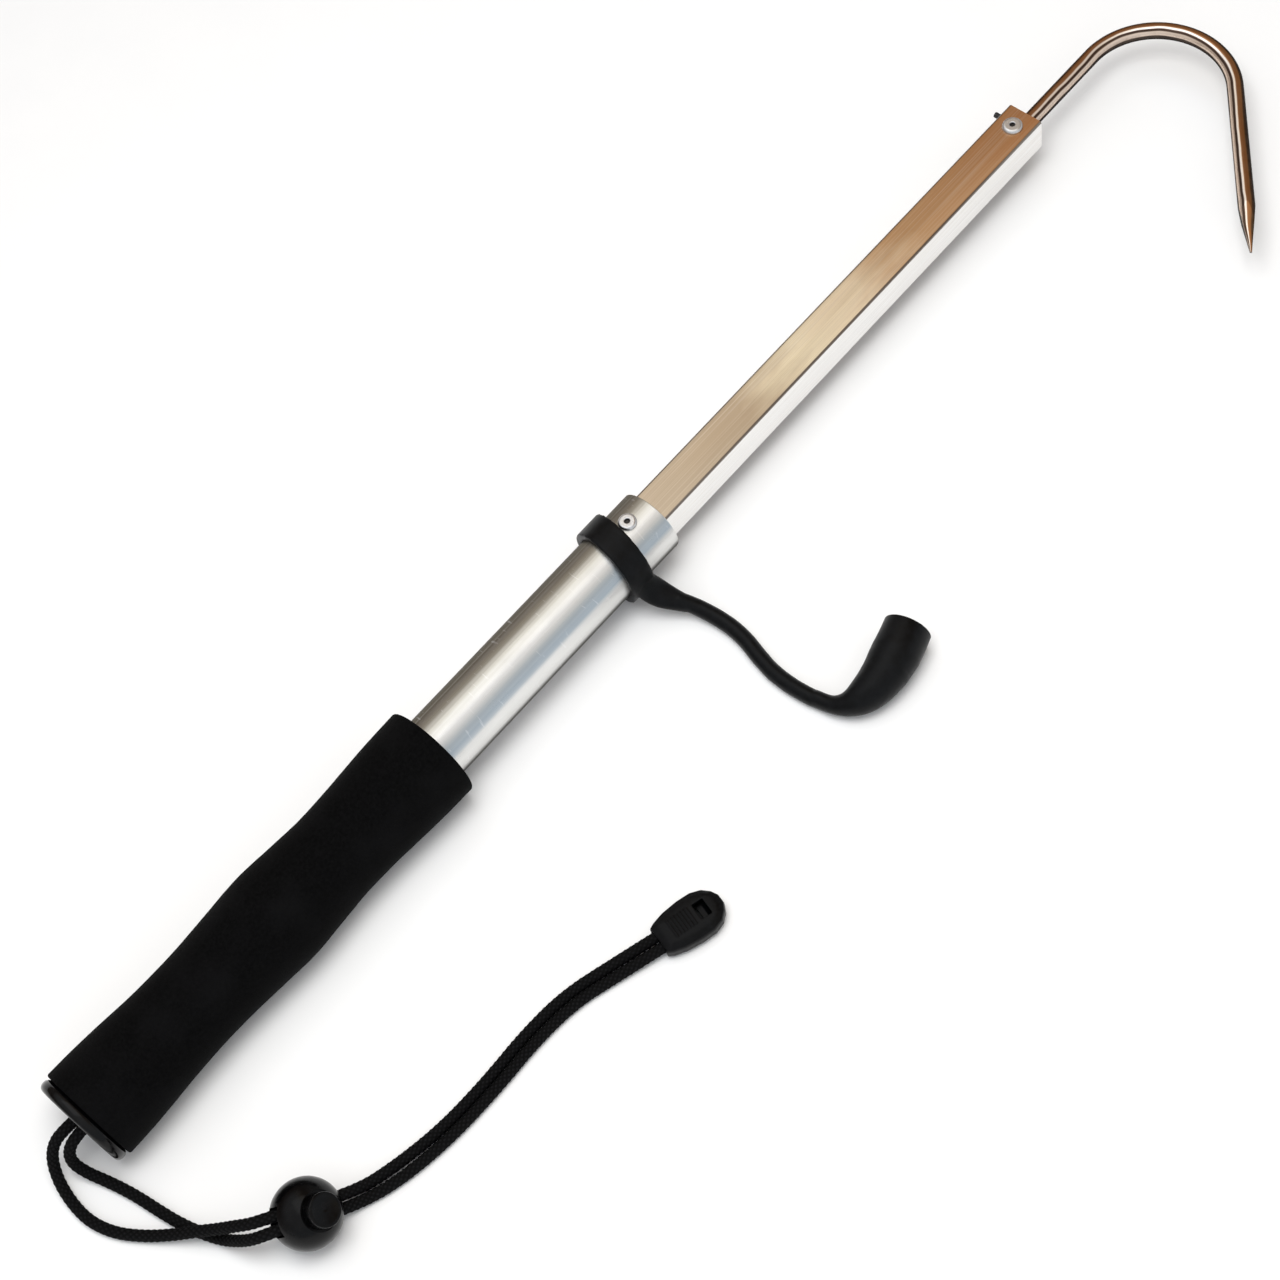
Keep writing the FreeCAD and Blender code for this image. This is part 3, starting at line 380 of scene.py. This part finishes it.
def hook_metal():
    m = Mat("hook_steel", (0.60, 0.57, 0.54), 0.13, 0.72, Specular_IOR_Level=0.12)
    m.b.inputs["Specular Tint"].default_value = (0.06, 0.045, 0.035, 1)
    fine = m.noise(m.coord((400, 400, 400)), 1.0, 4.0, 0.6)
    slow = m.noise(m.coord((45, 45, 45)), 1.0, 2.0, 0.5)
    at = m.new("ShaderNodeAttribute", attribute_name="ring")
    sp = m.new("ShaderNodeSeparateXYZ")
    m.link(at.outputs["Vector"], sp.inputs[0])
    ang = m.math("ARCTAN2", sp.outputs[1], sp.outputs[0])
    turn = m.math("ADD", m.remap(ang, -math.pi, math.pi, -0.5, 0.5), m.remap(slow, 0.3, 0.7, -0.02, 0.02))
    # painted reflections round the wire: dark brown edges, a thin bright painted highlight, brown and pinkish-tan bands
    painted_reflection_bands = m.ramp(m.math("MODULO", m.math("ADD", turn, 1.0), 1.0), [
        (0.05, (0.03, 0.018, 0.010)), (0.155, (0.05, 0.028, 0.014)), (0.190, (0.24, 0.10, 0.035)), (0.262, (0.32, 0.15, 0.065)),
        (0.282, (1.0, 0.93, 0.86)), (0.302, (1.0, 0.90, 0.82)), (0.318, (0.055, 0.032, 0.022)), (0.355, (0.06, 0.036, 0.026)),
        (0.374, (0.80, 0.64, 0.52)), (0.436, (0.72, 0.58, 0.48)), (0.458, (0.045, 0.035, 0.03)), (0.62, (0.05, 0.04, 0.035)),
        (0.75, (0.35, 0.32, 0.30)), (0.95, (0.08, 0.055, 0.04))])
    m.color(m.mix(m.remap(fine, 0.35, 0.7, 0.0, 0.12), painted_reflection_bands, (0.30, 0.22, 0.17)))
    m.rough(m.remap(fine, 0.3, 0.7, 0.13, 0.24))
    m.bump(fine, 0.08, 0.00002)
    return m


def rivet_metal():
    m = Mat("rivet_metal", (0.62, 0.62, 0.63), 0.28, 1.0)
    f = m.noise(m.coord((1500, 1500, 1500)), 1.0, 3.0, 0.6)
    m.color(m.mix(m.remap(f, 0.4, 0.7, 0.0, 0.5), (0.70, 0.70, 0.71), (0.50, 0.49, 0.47)))
    m.rough(m.remap(f, 0.3, 0.7, 0.26, 0.36))
    m.bump(f, 0.06, 0.00003)
    return m


def core_metal():
    m = Mat("rivet_core", (0.16, 0.15, 0.15), 0.45, 1.0)
    f = m.noise(m.coord((2500, 2500, 2500)), 1.0, 3.0, 0.6)
    m.color(m.mix(f, (0.02, 0.018, 0.018), (0.10, 0.095, 0.09)))
    m.rough(m.remap(f, 0.3, 0.7, 0.35, 0.6))
    m.bump(f, 0.3, 0.00005)
    return m


def foam():
    m = Mat("grip_foam", (0.002, 0.002, 0.002), 0.92, 0.0, Specular_IOR_Level=0.07)
    p = m.voronoi(m.coord((1, 1, 1)), 1900.0)
    pores = m.remap(p, 0.0, 0.45, 0.0, 1.0)
    f = m.noise(m.coord((1, 1, 1)), 900.0, 4.0, 0.7)
    soft = m.noise(m.coord((1, 1, 1)), 60.0, 3.0, 0.5)
    c = m.mix(m.remap(f, 0.35, 0.7, 0.0, 1.0), (0.0008, 0.0008, 0.0009), (0.0035, 0.0035, 0.0037))
    c = m.mix(m.remap(soft, 0.45, 0.75, 0.0, 0.6), c, (0.005, 0.005, 0.0055))
    m.color(c)
    m.rough(m.remap(f, 0.3, 0.7, 0.82, 0.95))
    m.bump(m.math("ADD", pores, f), 0.45, 0.00012)
    return m


def gloss_black(name, rough=0.2, level=0.45, dust=0.2):
    m = Mat(name, (0.006, 0.006, 0.007), rough, 0.0, Specular_IOR_Level=level)
    f = m.noise(m.coord((1, 1, 1)), 420.0, 4.0, 0.6)
    g = m.noise(m.coord((1, 1, 1)), 3200.0, 2.0, 0.5)
    m.color(m.mix(m.remap(f, 0.45, 0.8, 0.0, dust), (0.001, 0.001, 0.0012), (0.008, 0.008, 0.0085)))
    m.rough(m.remap(f, 0.3, 0.7, rough - 0.05, rough + 0.12))
    m.bump(g, 0.08, 0.00003)
    return m


def strap_rubber():
    m = Mat("strap_rubber", (0.002, 0.0022, 0.0026), 0.40, 0.0, Specular_IOR_Level=0.15)
    f = m.noise(m.coord((1, 1, 1)), 330.0, 4.0, 0.65)
    g = m.noise(m.coord((1, 1, 1)), 2200.0, 3.0, 0.6)
    sm = m.noise(m.coord((1, 1, 1)), 60.0, 2.0, 0.5)
    c = m.mix(m.remap(f, 0.4, 0.75, 0.0, 0.7), (0.0012, 0.0014, 0.0017), (0.0045, 0.005, 0.0062))
    c = m.mix(m.remap(g, 0.6, 0.8, 0.0, 0.3), c, (0.014, 0.016, 0.018))
    m.color(c)
    m.rough(m.math("ADD", m.remap(f, 0.3, 0.7, 0.30, 0.42), m.remap(sm, 0.4, 0.7, 0.0, 0.12)))
    m.bump(m.math("ADD", m.math("MULTIPLY", g, 0.4), f), 0.22, 0.00012)
    return m


def cord_fabric():
    m = Mat("cord_braid", (0.006, 0.006, 0.007), 0.75, 0.0, Specular_IOR_Level=0.08)
    f = m.noise(m.coord((1, 1, 1)), 1400.0, 3.0, 0.6)
    g = m.noise(m.coord((1, 1, 1)), 9000.0, 2.0, 0.5)
    at = m.new("ShaderNodeAttribute", attribute_name="relief")
    c = m.mix(m.remap(f, 0.35, 0.7, 0.0, 1.0), (0.002, 0.002, 0.0022), (0.005, 0.005, 0.0055))
    # painted shade in the valleys of the braid and a painted highlight on the tops of the yarns, from the relief height
    c = m.mix(m.remap(at.outputs["Fac"], 0.25, 1.0, 0.0, 1.0), (0.002, 0.002, 0.002), m.mix(m.remap(at.outputs["Fac"], 0.6, 1.05, 0.0, 0.8), c, (0.012, 0.012, 0.013)))
    c = m.mix(m.remap(g, 0.6, 0.75, 0.0, 0.4), c, (0.012, 0.012, 0.013))
    m.color(c)
    m.rough(m.remap(f, 0.3, 0.7, 0.6, 0.85))
    m.bump(g, 0.5, 0.00008)
    return m


def end_plastic():
    m = Mat("cord_end_plastic", (0.004, 0.0042, 0.005), 0.36, 0.0, Specular_IOR_Level=0.13)
    f = m.noise(m.coord((1, 1, 1)), 500.0, 4.0, 0.6)
    g = m.noise(m.coord((1, 1, 1)), 4200.0, 3.0, 0.6)
    m.color(m.mix(m.remap(f, 0.4, 0.75, 0.0, 0.8), (0.0010, 0.0011, 0.0013), (0.004, 0.0042, 0.005)))
    m.rough(m.remap(f, 0.3, 0.7, 0.30, 0.45))
    m.bump(g, 0.15, 0.00005)
    return m


def nylon():
    m = Mat("bushing_nylon", (0.70, 0.69, 0.65), 0.45, 0.0, Specular_IOR_Level=0.45, Subsurface_Weight=0.08)
    m.b.inputs["Subsurface Radius"].default_value = (0.001, 0.001, 0.0008)
    f = m.noise(m.coord((1, 1, 1)), 500.0, 4.0, 0.6)
    m.color(m.mix(m.remap(f, 0.4, 0.75, 0.0, 0.6), (0.72, 0.71, 0.67), (0.55, 0.53, 0.49)))
    m.rough(m.remap(f, 0.3, 0.7, 0.38, 0.55))
    m.bump(m.noise(m.coord((3000, 300, 300)), 1.0, 2.0), 0.2, 0.00004)
    return m


def matt_black(name, base=0.012):
    m = Mat(name, (base, base, base), 0.5, 0.0, Specular_IOR_Level=0.4)
    f = m.noise(m.coord((1, 1, 1)), 900.0, 4.0, 0.6)
    m.color(m.mix(f, (base * 0.6, base * 0.6, base * 0.65), (base * 1.8, base * 1.8, base * 1.9)))
    m.rough(m.remap(f, 0.3, 0.7, 0.42, 0.62))
    m.bump(f, 0.25, 0.00006)
    return m


M_ROUND, M_SQUARE, M_HOOK = tube_metal(), square_metal(), hook_metal()
M_RIVET, M_CORE, M_FOAM = rivet_metal(), core_metal(), foam()
M_CAP = gloss_black("cap_plastic", 0.14, 0.2, 0.25)
M_BALL = gloss_black("lock_plastic", 0.18, 0.16, 0.3)
M_STRAP, M_CORD, M_END = strap_rubber(), cord_fabric(), end_plastic()
M_NYLON, M_SOCKET, M_RING = nylon(), matt_black("socket_plastic"), matt_black("ring_rubber", 0.015)

for node, mat in {
    "handle_tube": M_ROUND, "end_cap": M_CAP, "lanyard_knot": M_CORD, "guide_bushing": M_NYLON,
    "collar_rivet": M_RIVET, "collar_rivet_mandrel": M_CORE, "square_tube": M_SQUARE, "slider_stop": M_NYLON,
    "friction_ring": M_RING, "slider_pin": M_CORE, "hook_socket": M_SOCKET, "hook_rivet": M_RIVET,
    "hook_rivet_mandrel": M_CORE, "gaff_hook": M_HOOK, "tip_guard_strap": M_STRAP, "cord_lock_body": M_BALL,
    "cord_lock_button": M_BALL, "cord_lock_spring": M_CORE, "lanyard_strand_outer": M_CORD,
    "lanyard_strand_inner": M_CORD, "cord_end_shell": M_END, "cord_end_latch": M_END, "cord_end_knots": M_CORD,
    "foam_grip": M_FOAM,
}.items():
    set_mat(NODES[node], mat)


# ------------------------------------------------------------------ foam grip
def make_grip():
    g0, gl = 113.9, 163.9
    re, rf, rb, rr = 18.5, 16.7, 18.3, 16.5
    prof = [(0.0, re), (0.075, re - 0.22), (0.17, 0.42 * re + 0.58 * rf), (0.245, rf + 0.12), (0.30, rf),
            (0.375, 0.55 * rf + 0.45 * rb), (0.47, rb), (0.56, 0.56 * rb + 0.44 * rr), (0.64, rr + 0.22),
            (0.71, rr), (0.79, rr + 0.35), (0.87, 0.62 * re + 0.38 * rr), (0.945, re - 0.16), (1.0, re)]
    xs = np.array([p[0] for p in prof])
    rs = np.array([p[1] for p in prof])

    def radius(s):
        # smooth line through the profile's points
        k = np.clip(np.searchsorted(xs, s) - 1, 0, len(xs) - 2)
        slope = np.gradient(rs, xs)
        h = xs[k + 1] - xs[k]
        t = (s - xs[k]) / h
        return ((2 * t ** 3 - 3 * t ** 2 + 1) * rs[k] + (t ** 3 - 2 * t ** 2 + t) * h * slope[k]
                + (-2 * t ** 3 + 3 * t ** 2) * rs[k + 1] + (t ** 3 - t ** 2) * h * slope[k + 1])

    n, m = 420, 192
    s = np.linspace(0, 1, n)
    R = radius(s)
    X = -(g0 + s * gl)
    # rounded rims, then the flat ends down to the tube
    e = 0.9
    a = np.linspace(0, math.pi / 2, 6)
    ring = []
    for q in np.linspace(12.52, R[0] - e, 9)[:-1]:
        ring.append((X[0], q))
    for q in a:
        ring.append((X[0] - e * (1 - math.cos(q)), R[0] - e + e * math.sin(q)))
    body = [(x, r) for x, r in zip(X, R) if X[-1] + e < x < X[0] - e]
    ring += body
    for q in a[::-1]:
        ring.append((X[-1] + e * (1 - math.cos(q)), R[-1] - e + e * math.sin(q)))
    for q in np.linspace(R[-1] - e, 12.52, 9)[1:]:
        ring.append((X[-1], q))
    ring.append((X[-1] + 2.0, 12.52))
    ring = ring[:]
    ring.insert(0, (X[0] - 2.0, 12.52))
    ring = np.array(ring)
    th = np.linspace(0, 2 * math.pi, m, endpoint=False)
    P = np.stack([np.repeat(ring[:, 0], m), np.outer(ring[:, 1], np.cos(th)).ravel(),
                  np.outer(ring[:, 1], np.sin(th)).ravel()], 1)
    rad = np.repeat(ring[:, 1], m)
    lump = 0.05 * rng_noise(P, 0.05, 3, 3) + 0.02 * rng_noise(P, 0.4, 5, 2)
    w = np.clip((rad - 13.5) / 2.0, 0, 1)
    k = 1 + (lump * w - 0.04 * w) / np.maximum(rad, 1)
    P[:, 1] *= k
    P[:, 2] *= k
    P[:, 2] = np.maximum(P[:, 2], -18.5)
    ob = build("foam_grip_skin", (P * MM) + AX, [f[::-1] for f in grid_faces(len(ring), m)])
    # close the sleeve on its inside
    bm = bmesh.new()
    bm.from_mesh(ob.data)
    last = (len(ring) - 1) * m
    bm.verts.ensure_lookup_table()
    for j in range(m):
        bm.faces.new([bm.verts[j], bm.verts[last + j], bm.verts[last + (j + 1) % m], bm.verts[(j + 1) % m]])
    bmesh.ops.recalc_face_normals(bm, faces=bm.faces)
    bm.to_mesh(ob.data)
    bm.free()
    ob.data.polygons.foreach_set("use_smooth", np.ones(len(ob.data.polygons), bool))
    set_mat(ob, M_FOAM)
    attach(ob, "handle")
    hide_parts("foam_grip")


make_grip()

# ------------------------------------------------------------------ hook
def make_hook():
    """The bent wire of the hook, with the angle round the wire kept for its painted reflection bands."""
    R, rb, x0, x1, turn, leg = 3.175, 29.5, 192.0, 255.7, math.radians(140.7), 77.0
    la, lb = x1 - x0, rb * turn
    total = la + lb + leg
    st = np.unique(np.r_[np.arange(0, la, 2.0), la + np.arange(0, lb, 0.6), la + lb + np.arange(0, leg - 22, 1.5),
                         total - 22 + np.arange(0, 22.01, 0.25)])
    st = st[st <= total]
    t = np.clip((st - la) / rb, 0, turn)
    P = np.stack([np.minimum(x0 + st, x1) + rb * np.sin(t), -rb + rb * np.cos(t), 0 * t], 1)
    d = np.stack([np.cos(t), -np.sin(t), 0 * t], 1)
    P += d * np.clip(st - la - lb, 0, None)[:, None]
    N = np.stack([np.sin(t), np.cos(t), 0 * t], 1)
    th = np.linspace(0, 2 * math.pi, 72, endpoint=False)
    D = np.interp(st, [total - 21.0, total], [R, 0.35])
    off = (th + math.pi / 4) % (math.pi / 2) - math.pi / 4
    r = np.minimum(R, np.where((st < total - 21.0)[:, None], R, D[:, None] / np.cos(off)[None, :]))
    V = P[:, None, :] + r[:, :, None] * (np.cos(th)[None, :, None] * N[:, None, :] + np.sin(th)[None, :, None] * np.array([0, 0, 1.0]))
    k, m = len(st), 72
    verts = np.concatenate([V.reshape(-1, 3), P[:1], P[-1:]]) * MM + AX
    faces = grid_faces(k, m) + fan(list(range(m)), k * m, True) + fan(list(range((k - 1) * m, k * m)), k * m + 1)
    ob = build("gaff_hook_wire", verts, faces)
    ring = np.zeros((k * m + 2, 3), np.float32)
    ring[:k * m, 0] = np.tile(np.cos(th), k)
    ring[:k * m, 1] = np.tile(np.sin(th), k)
    at = ob.data.attributes.new("ring", "FLOAT_VECTOR", "POINT")
    at.data.foreach_set("vector", ring.reshape(-1))
    bm = bmesh.new()
    bm.from_mesh(ob.data)
    bmesh.ops.recalc_face_normals(bm, faces=bm.faces)
    bm.to_mesh(ob.data)
    bm.free()
    set_mat(ob, M_HOOK)
    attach(ob, "slider")
    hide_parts("gaff_hook")


make_hook()


# ------------------------------------------------------------------ soft mouldings
def make_soft():
    ob = copy_node("tip_guard_strap", "tip_guard_strap_moulded")
    moulded(ob, 0.00042, 5, 0.5)
    co, no = coords(ob), normals(ob)
    loc = co / MM - AX / MM
    on_band = (np.hypot(loc[:, 1], loc[:, 2]) < 17.0) & (loc[:, 1] > -13.5)
    amp = np.where(on_band, 0.05, 0.09)
    # the moulding's rough rear edge on the far side of the band
    edge = on_band & (loc[:, 0] < -24.0) & (loc[:, 2] > 2.0)
    amp = np.where(edge, 0.22, amp)
    set_coords(ob, co - no * (amp * (0.5 + 0.5 * np.clip(rng_noise(co / MM, 0.16, 3), -1, 1)))[:, None] * MM)
    # the cover is an even cone up to its mouth
    co = coords(ob)
    loc = co / MM - AX / MM
    p0, p1 = np.array([8.0, -99.4, -9.8]), np.array([24.2, -95.2, -9.75])
    mid = np.array([15.4, -97.9, -9.5])
    t = np.clip((loc - p0) @ (p1 - p0) / ((p1 - p0) @ (p1 - p0)), 0, 1)
    axis = ((1 - t) * (1 - 2 * t))[:, None] * p0 + (4 * t * (1 - t))[:, None] * mid + (t * (2 * t - 1))[:, None] * p1
    d = loc - axis
    u = (p1 - p0) / np.linalg.norm(p1 - p0)
    d -= (d @ u)[:, None] * u
    r = np.linalg.norm(d, axis=1)
    want = np.interp(t, [0, 0.35, 1.0], [8.3, 8.75, 8.6])
    outer = (loc[:, 1] < -80) & (loc[:, 0] > 7.0) & (r > 7.35)
    k = np.clip((loc[:, 0] - 7.0) / 3.0, 0, 1) * outer
    co += (d / np.maximum(r, 1e-6)[:, None] * (np.clip(want - r, -1.2, 1.2) * k)[:, None]) * MM
    set_coords(ob, co)
    ob.data.polygons.foreach_set("use_smooth", np.ones(len(ob.data.polygons), bool))
    set_mat(ob, M_STRAP)
    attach(ob, "strap")
    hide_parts("tip_guard_strap")

    ob = copy_node("cord_end_shell", "cord_end_shell_moulded")
    moulded(ob, 0.00018, 3, 0.5)
    co = coords(ob)
    a = math.radians(15.0)
    e = co / MM - np.array([-117.9, -57.2, 4.0])
    lx = e[:, 0] * math.cos(a) - e[:, 1] * math.sin(a)
    ly = e[:, 0] * math.sin(a) + e[:, 1] * math.cos(a)
    hw = np.interp(lx / 25.2, [0, .08, .25, .5, .7, .85, .95, 1], [5.2, 6.2, 7.4, 8.1, 7.9, 6.6, 4.4, 1.7])
    u = np.clip(np.abs(ly) / hw, 0, 1)
    v = np.clip(np.abs(lx - 12.6) / 12.6, 0, 1)
    drop = 1 - 0.95 * np.clip(np.maximum(u ** 2.6, v ** 4), 0, 1) * 0.9
    lz = e[:, 2]
    up = lz > 2.55
    lz2 = np.where(up, 2.55 + (lz - 2.55) * np.clip(drop, 0.15, 1), lz)
    # the top, lowered towards its outline, put back in place
    co[:, 2] = (lz2 + 4.0) * MM
    set_coords(ob, co)
    set_mat(ob, M_END)
    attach(ob, "handle")
    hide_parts("cord_end_shell")
    return ob


SHELL = make_soft()

# ------------------------------------------------------------------ lock spring
def make_spring():
    """A copy of the lock's spring, on the handle, with a mesh of its own."""
    ob = copy_node("cord_lock_spring", "cord_lock_spring_live")
    u = np.array([0.3280, -0.5718, 0.7520])
    u /= np.linalg.norm(u)
    co = coords(ob)
    set_mat(ob, M_CORE)
    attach(ob, "handle")
    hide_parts("cord_lock_spring")
    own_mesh(ob)
    return ob


SPRING = make_spring()

# ------------------------------------------------------------------ wrist cord
STRAND_OUTER = [
    (-282.5, 46.65, 18.5), (-288.8, 47.4, 18.1), (-294.4, 48.8, 14.5), (-298.8, 48.2, 8.7),
    (-302.4, 43.6, 3.8), (-304.5, 36.0, 2.05), (-305.0, 26.2, 2.05), (-302.0, 16.4, 2.05),
    (-296.2, 7.7, 2.3), (-289.8, 0.0, 4.2), (-284.4, -6.0, 6.8), (-279.2, -12.2, 9.6),
    (-275.2, -17.4, 13.7), (-271.4, -22.0, 16.5), (-267.1, -25.2, 17.7), (-261.7, -28.3, 16.4),
    (-241.5, -35.65, 2.05), (-228.3, -39.7, 2.05), (-209.3, -43.2, 2.05), (-188.3, -43.8, 2.05),
    (-169.3, -42.9, 2.05), (-151.0, -44.0, 2.05), (-133.4, -49.2, 2.05), (-114.8, -55.8, 4.0)]
STRAND_INNER = [
    (-282.5, 42.55, 18.5), (-288.5, 42.8, 17.9), (-293.2, 43.3, 13.9), (-295.4, 42.2, 7.9),
    (-294.4, 37.6, 3.2), (-291.8, 30.2, 2.05), (-289.4, 21.0, 2.05), (-287.8, 11.2, 2.05),
    (-286.2, 2.6, 2.05), (-283.7, -5.6, 2.05), (-280.8, -13.0, 3.1), (-277.7, -19.4, 7.9),
    (-274.4, -24.8, 13.1), (-269.7, -28.7, 16.1), (-263.6, -31.7, 14.6), (-245.95, -38.15, 2.05),
    (-231.3, -44.0, 2.05), (-210.3, -47.4, 2.05), (-188.3, -47.95, 2.05), (-168.8, -47.1, 2.05),
    (-150.3, -48.45, 2.05), (-134.7, -53.4, 2.05), (-116.2, -59.85, 4.0)]


def braid(name, pts, dia, phase):
    """A braided cord along a route: eight yarns each way, over and under."""
    P = nurbs_points(name + "_line", [tuple(c * MM for c in p) for p in pts], 64)
    s = along(P)
    T, N, B = frames_along(P)
    m = 64
    th = np.linspace(0, 2 * math.pi, m, endpoint=False)
    n_y, pitch = 7.0, 0.00215
    a = th[None, :] / (2 * math.pi) * n_y
    b = s[:, None] / pitch + phase
    u, v = a + b, a - b
    fu, fv = u - np.floor(u), v - np.floor(v)
    top = (np.floor(u) + np.floor(v)) % 2 == 0
    across = np.where(top, fu, fv)
    ends = np.where(top, fv, fu)
    ridge = np.sqrt(np.clip(np.sin(math.pi * across), 0, 1)) * (0.45 + 0.55 * np.sin(math.pi * ends))
    # each yarn is a few plies wide
    ply = 0.06 * np.cos(across * 2 * math.pi * 3)
    h = ridge + ply * (ridge > 0.3)
    r = dia / 2 - 0.00032 + 0.00038 * h
    V = P[:, None, :] + r[:, :, None] * (np.cos(th)[None, :, None] * N[:, None, :] + np.sin(th)[None, :, None] * B[:, None, :])
    V[:, :, 2] = np.maximum(V[:, :, 2], 0.00005)
    k = len(P)
    verts = np.concatenate([V.reshape(-1, 3), P[:1], P[-1:]])
    faces = [f[::-1] for f in grid_faces(k, m)]
    faces += fan(list(range(m)), k * m) + fan(list(range((k - 1) * m, k * m)), k * m + 1, True)
    ob = build(name, verts, faces)
    # the relief height, which also drives the braid's painted shade and highlight
    rel = ob.data.attributes.new("relief", "FLOAT", "POINT")
    rel.data.foreach_set("value", np.r_[h.reshape(-1), 0.5, 0.5].astype(np.float32))
    bm = bmesh.new()
    bm.from_mesh(ob.data)
    bmesh.ops.recalc_face_normals(bm, faces=bm.faces)
    bm.to_mesh(ob.data)
    bm.free()
    set_mat(ob, M_CORD)
    return ob, P, s[-1]


for node, pts, ph in (("lanyard_strand_outer", STRAND_OUTER, 0.0), ("lanyard_strand_inner", STRAND_INNER, 0.37)):
    ob, line, length = braid(node + "_braid", pts, 0.004, ph)
    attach(ob, "handle")
    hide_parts(node)
    print(node, "line length", round(length, 4))

# ------------------------------------------------------------------ floor, light, camera
floor = build("floor", [(-3, -3, 0), (3, -3, 0), (3, 3, 0), (-3, 3, 0)], [[0, 1, 2, 3]], False)
fm = Mat("floor_white", (0.86, 0.87, 0.88), 0.9, 0.0, Specular_IOR_Level=0.1)
fm.color(fm.mix(fm.noise(fm.coord((1, 1, 1)), 40.0, 3.0), (0.86, 0.87, 0.88), (0.89, 0.895, 0.90)))
set_mat(floor, fm)

cam_data = bpy.data.cameras.new("cam")
cam = bpy.data.objects.new("cam", cam_data)
bpy.context.scene.collection.objects.link(cam)
Cp = np.array([-265.683353, -371.359138, 737.414018]) * MM + AX
rv = Vector((2.384607, -1.124382, 0.098643))
Rw = Matrix.Rotation(rv.length, 3, rv.normalized())       # world to camera, x right, y down, z forward
right, down, fwd = Rw[0], Rw[1], Rw[2]
rot = Matrix(((right[0], -down[0], -fwd[0]), (right[1], -down[1], -fwd[1]), (right[2], -down[2], -fwd[2])))
cam.matrix_world = Matrix.Translation(Vector(Cp)) @ rot.to_4x4()
cam_data.sensor_width = 36
cam_data.sensor_fit = "HORIZONTAL"
cam_data.lens = 36 * 2450.24557 / 1280
cam_data.clip_start = 0.01
bpy.context.scene.camera = cam


def area(name, loc, target, size, power, color=(1, 1, 1), size_y=None):
    li = bpy.data.lights.new(name, "AREA")
    li.energy = power
    li.color = color
    li.shape = "RECTANGLE" if size_y else "SQUARE"
    li.size = size
    if size_y:
        li.size_y = size_y
    ob = bpy.data.objects.new(name, li)
    bpy.context.scene.collection.objects.link(ob)
    ob.location = loc
    ob.rotation_euler = (Vector(target) - Vector(loc)).to_track_quat("-Z", "Y").to_euler()
    return ob


# key near the camera, a little to its upper left; a large soft top light
camp = Vector(Cp)
key = area("key", camp + Vector(-right) * 0.12 - Vector(down) * 0.30, (0, 0, 0.01), 0.45, 4.6, (1.0, 0.99, 0.97))
key.visible_glossy = False
area("top", (0.1, 0.3, 1.8), (0, 0, 0), 1.6, 6, (1, 1, 1))

world = bpy.data.worlds.new("studio")
bpy.context.scene.world = world
world.use_nodes = True
wt = world.node_tree
bg = wt.nodes["Background"]
tc = wt.nodes.new("ShaderNodeTexCoord")
sp = wt.nodes.new("ShaderNodeSeparateXYZ")
wt.links.new(tc.outputs["Generated"], sp.inputs[0])


def sky(socket, stops):
    rp = wt.nodes.new("ShaderNodeValToRGB")
    wt.links.new(socket, rp.inputs[0])
    els = rp.color_ramp.elements
    els[0].position, els[0].color = stops[0][0], (*stops[0][1], 1)
    els[1].position, els[1].color = stops[-1][0], (*stops[-1][1], 1)
    for p, c in stops[1:-1]:
        el = els.new(p)
        el.color = (*c, 1)
    return rp.outputs[0]


def sky_mix(fac, a, b):
    mx = wt.nodes.new("ShaderNodeMix")
    mx.data_type = "RGBA"
    wt.links.new(fac, mx.inputs[0])
    wt.links.new(a, mx.inputs[6])
    wt.links.new(b, mx.inputs[7])
    return mx.outputs[2]


# a room: white overhead panels with a warm wall and a gap between, cool to one side
over = sky(sp.outputs[0], [(0.0, (0.95, 0.96, 0.98)), (0.20, (1.0, 1.0, 1.0)), (0.29, (0.62, 0.57, 0.50)), (0.36, (1.0, 0.90, 0.72)),
                           (0.41, (0.95, 0.80, 0.60)), (0.47, (0.42, 0.31, 0.22)), (1.0, (0.34, 0.25, 0.18))])
mr = wt.nodes.new("ShaderNodeMapRange")
wt.links.new(sp.outputs[1], mr.inputs[0])
mr.inputs[1].default_value, mr.inputs[2].default_value = -0.6, 0.8
low = sky(mr.outputs[0], [(0.0, (0.80, 0.85, 0.90)), (0.5, (0.62, 0.62, 0.62)), (1.0, (0.22, 0.17, 0.14))])
mz = wt.nodes.new("ShaderNodeMapRange")
wt.links.new(sp.outputs[2], mz.inputs[0])
mz.inputs[1].default_value, mz.inputs[2].default_value = 0.35, 0.65
wt.links.new(sky_mix(mz.outputs[0], low, over), bg.inputs[0])
bg.inputs[1].default_value = 0.85
bpy.context.scene.view_settings.view_transform = "Standard"
bpy.context.scene.view_settings.look = "None"
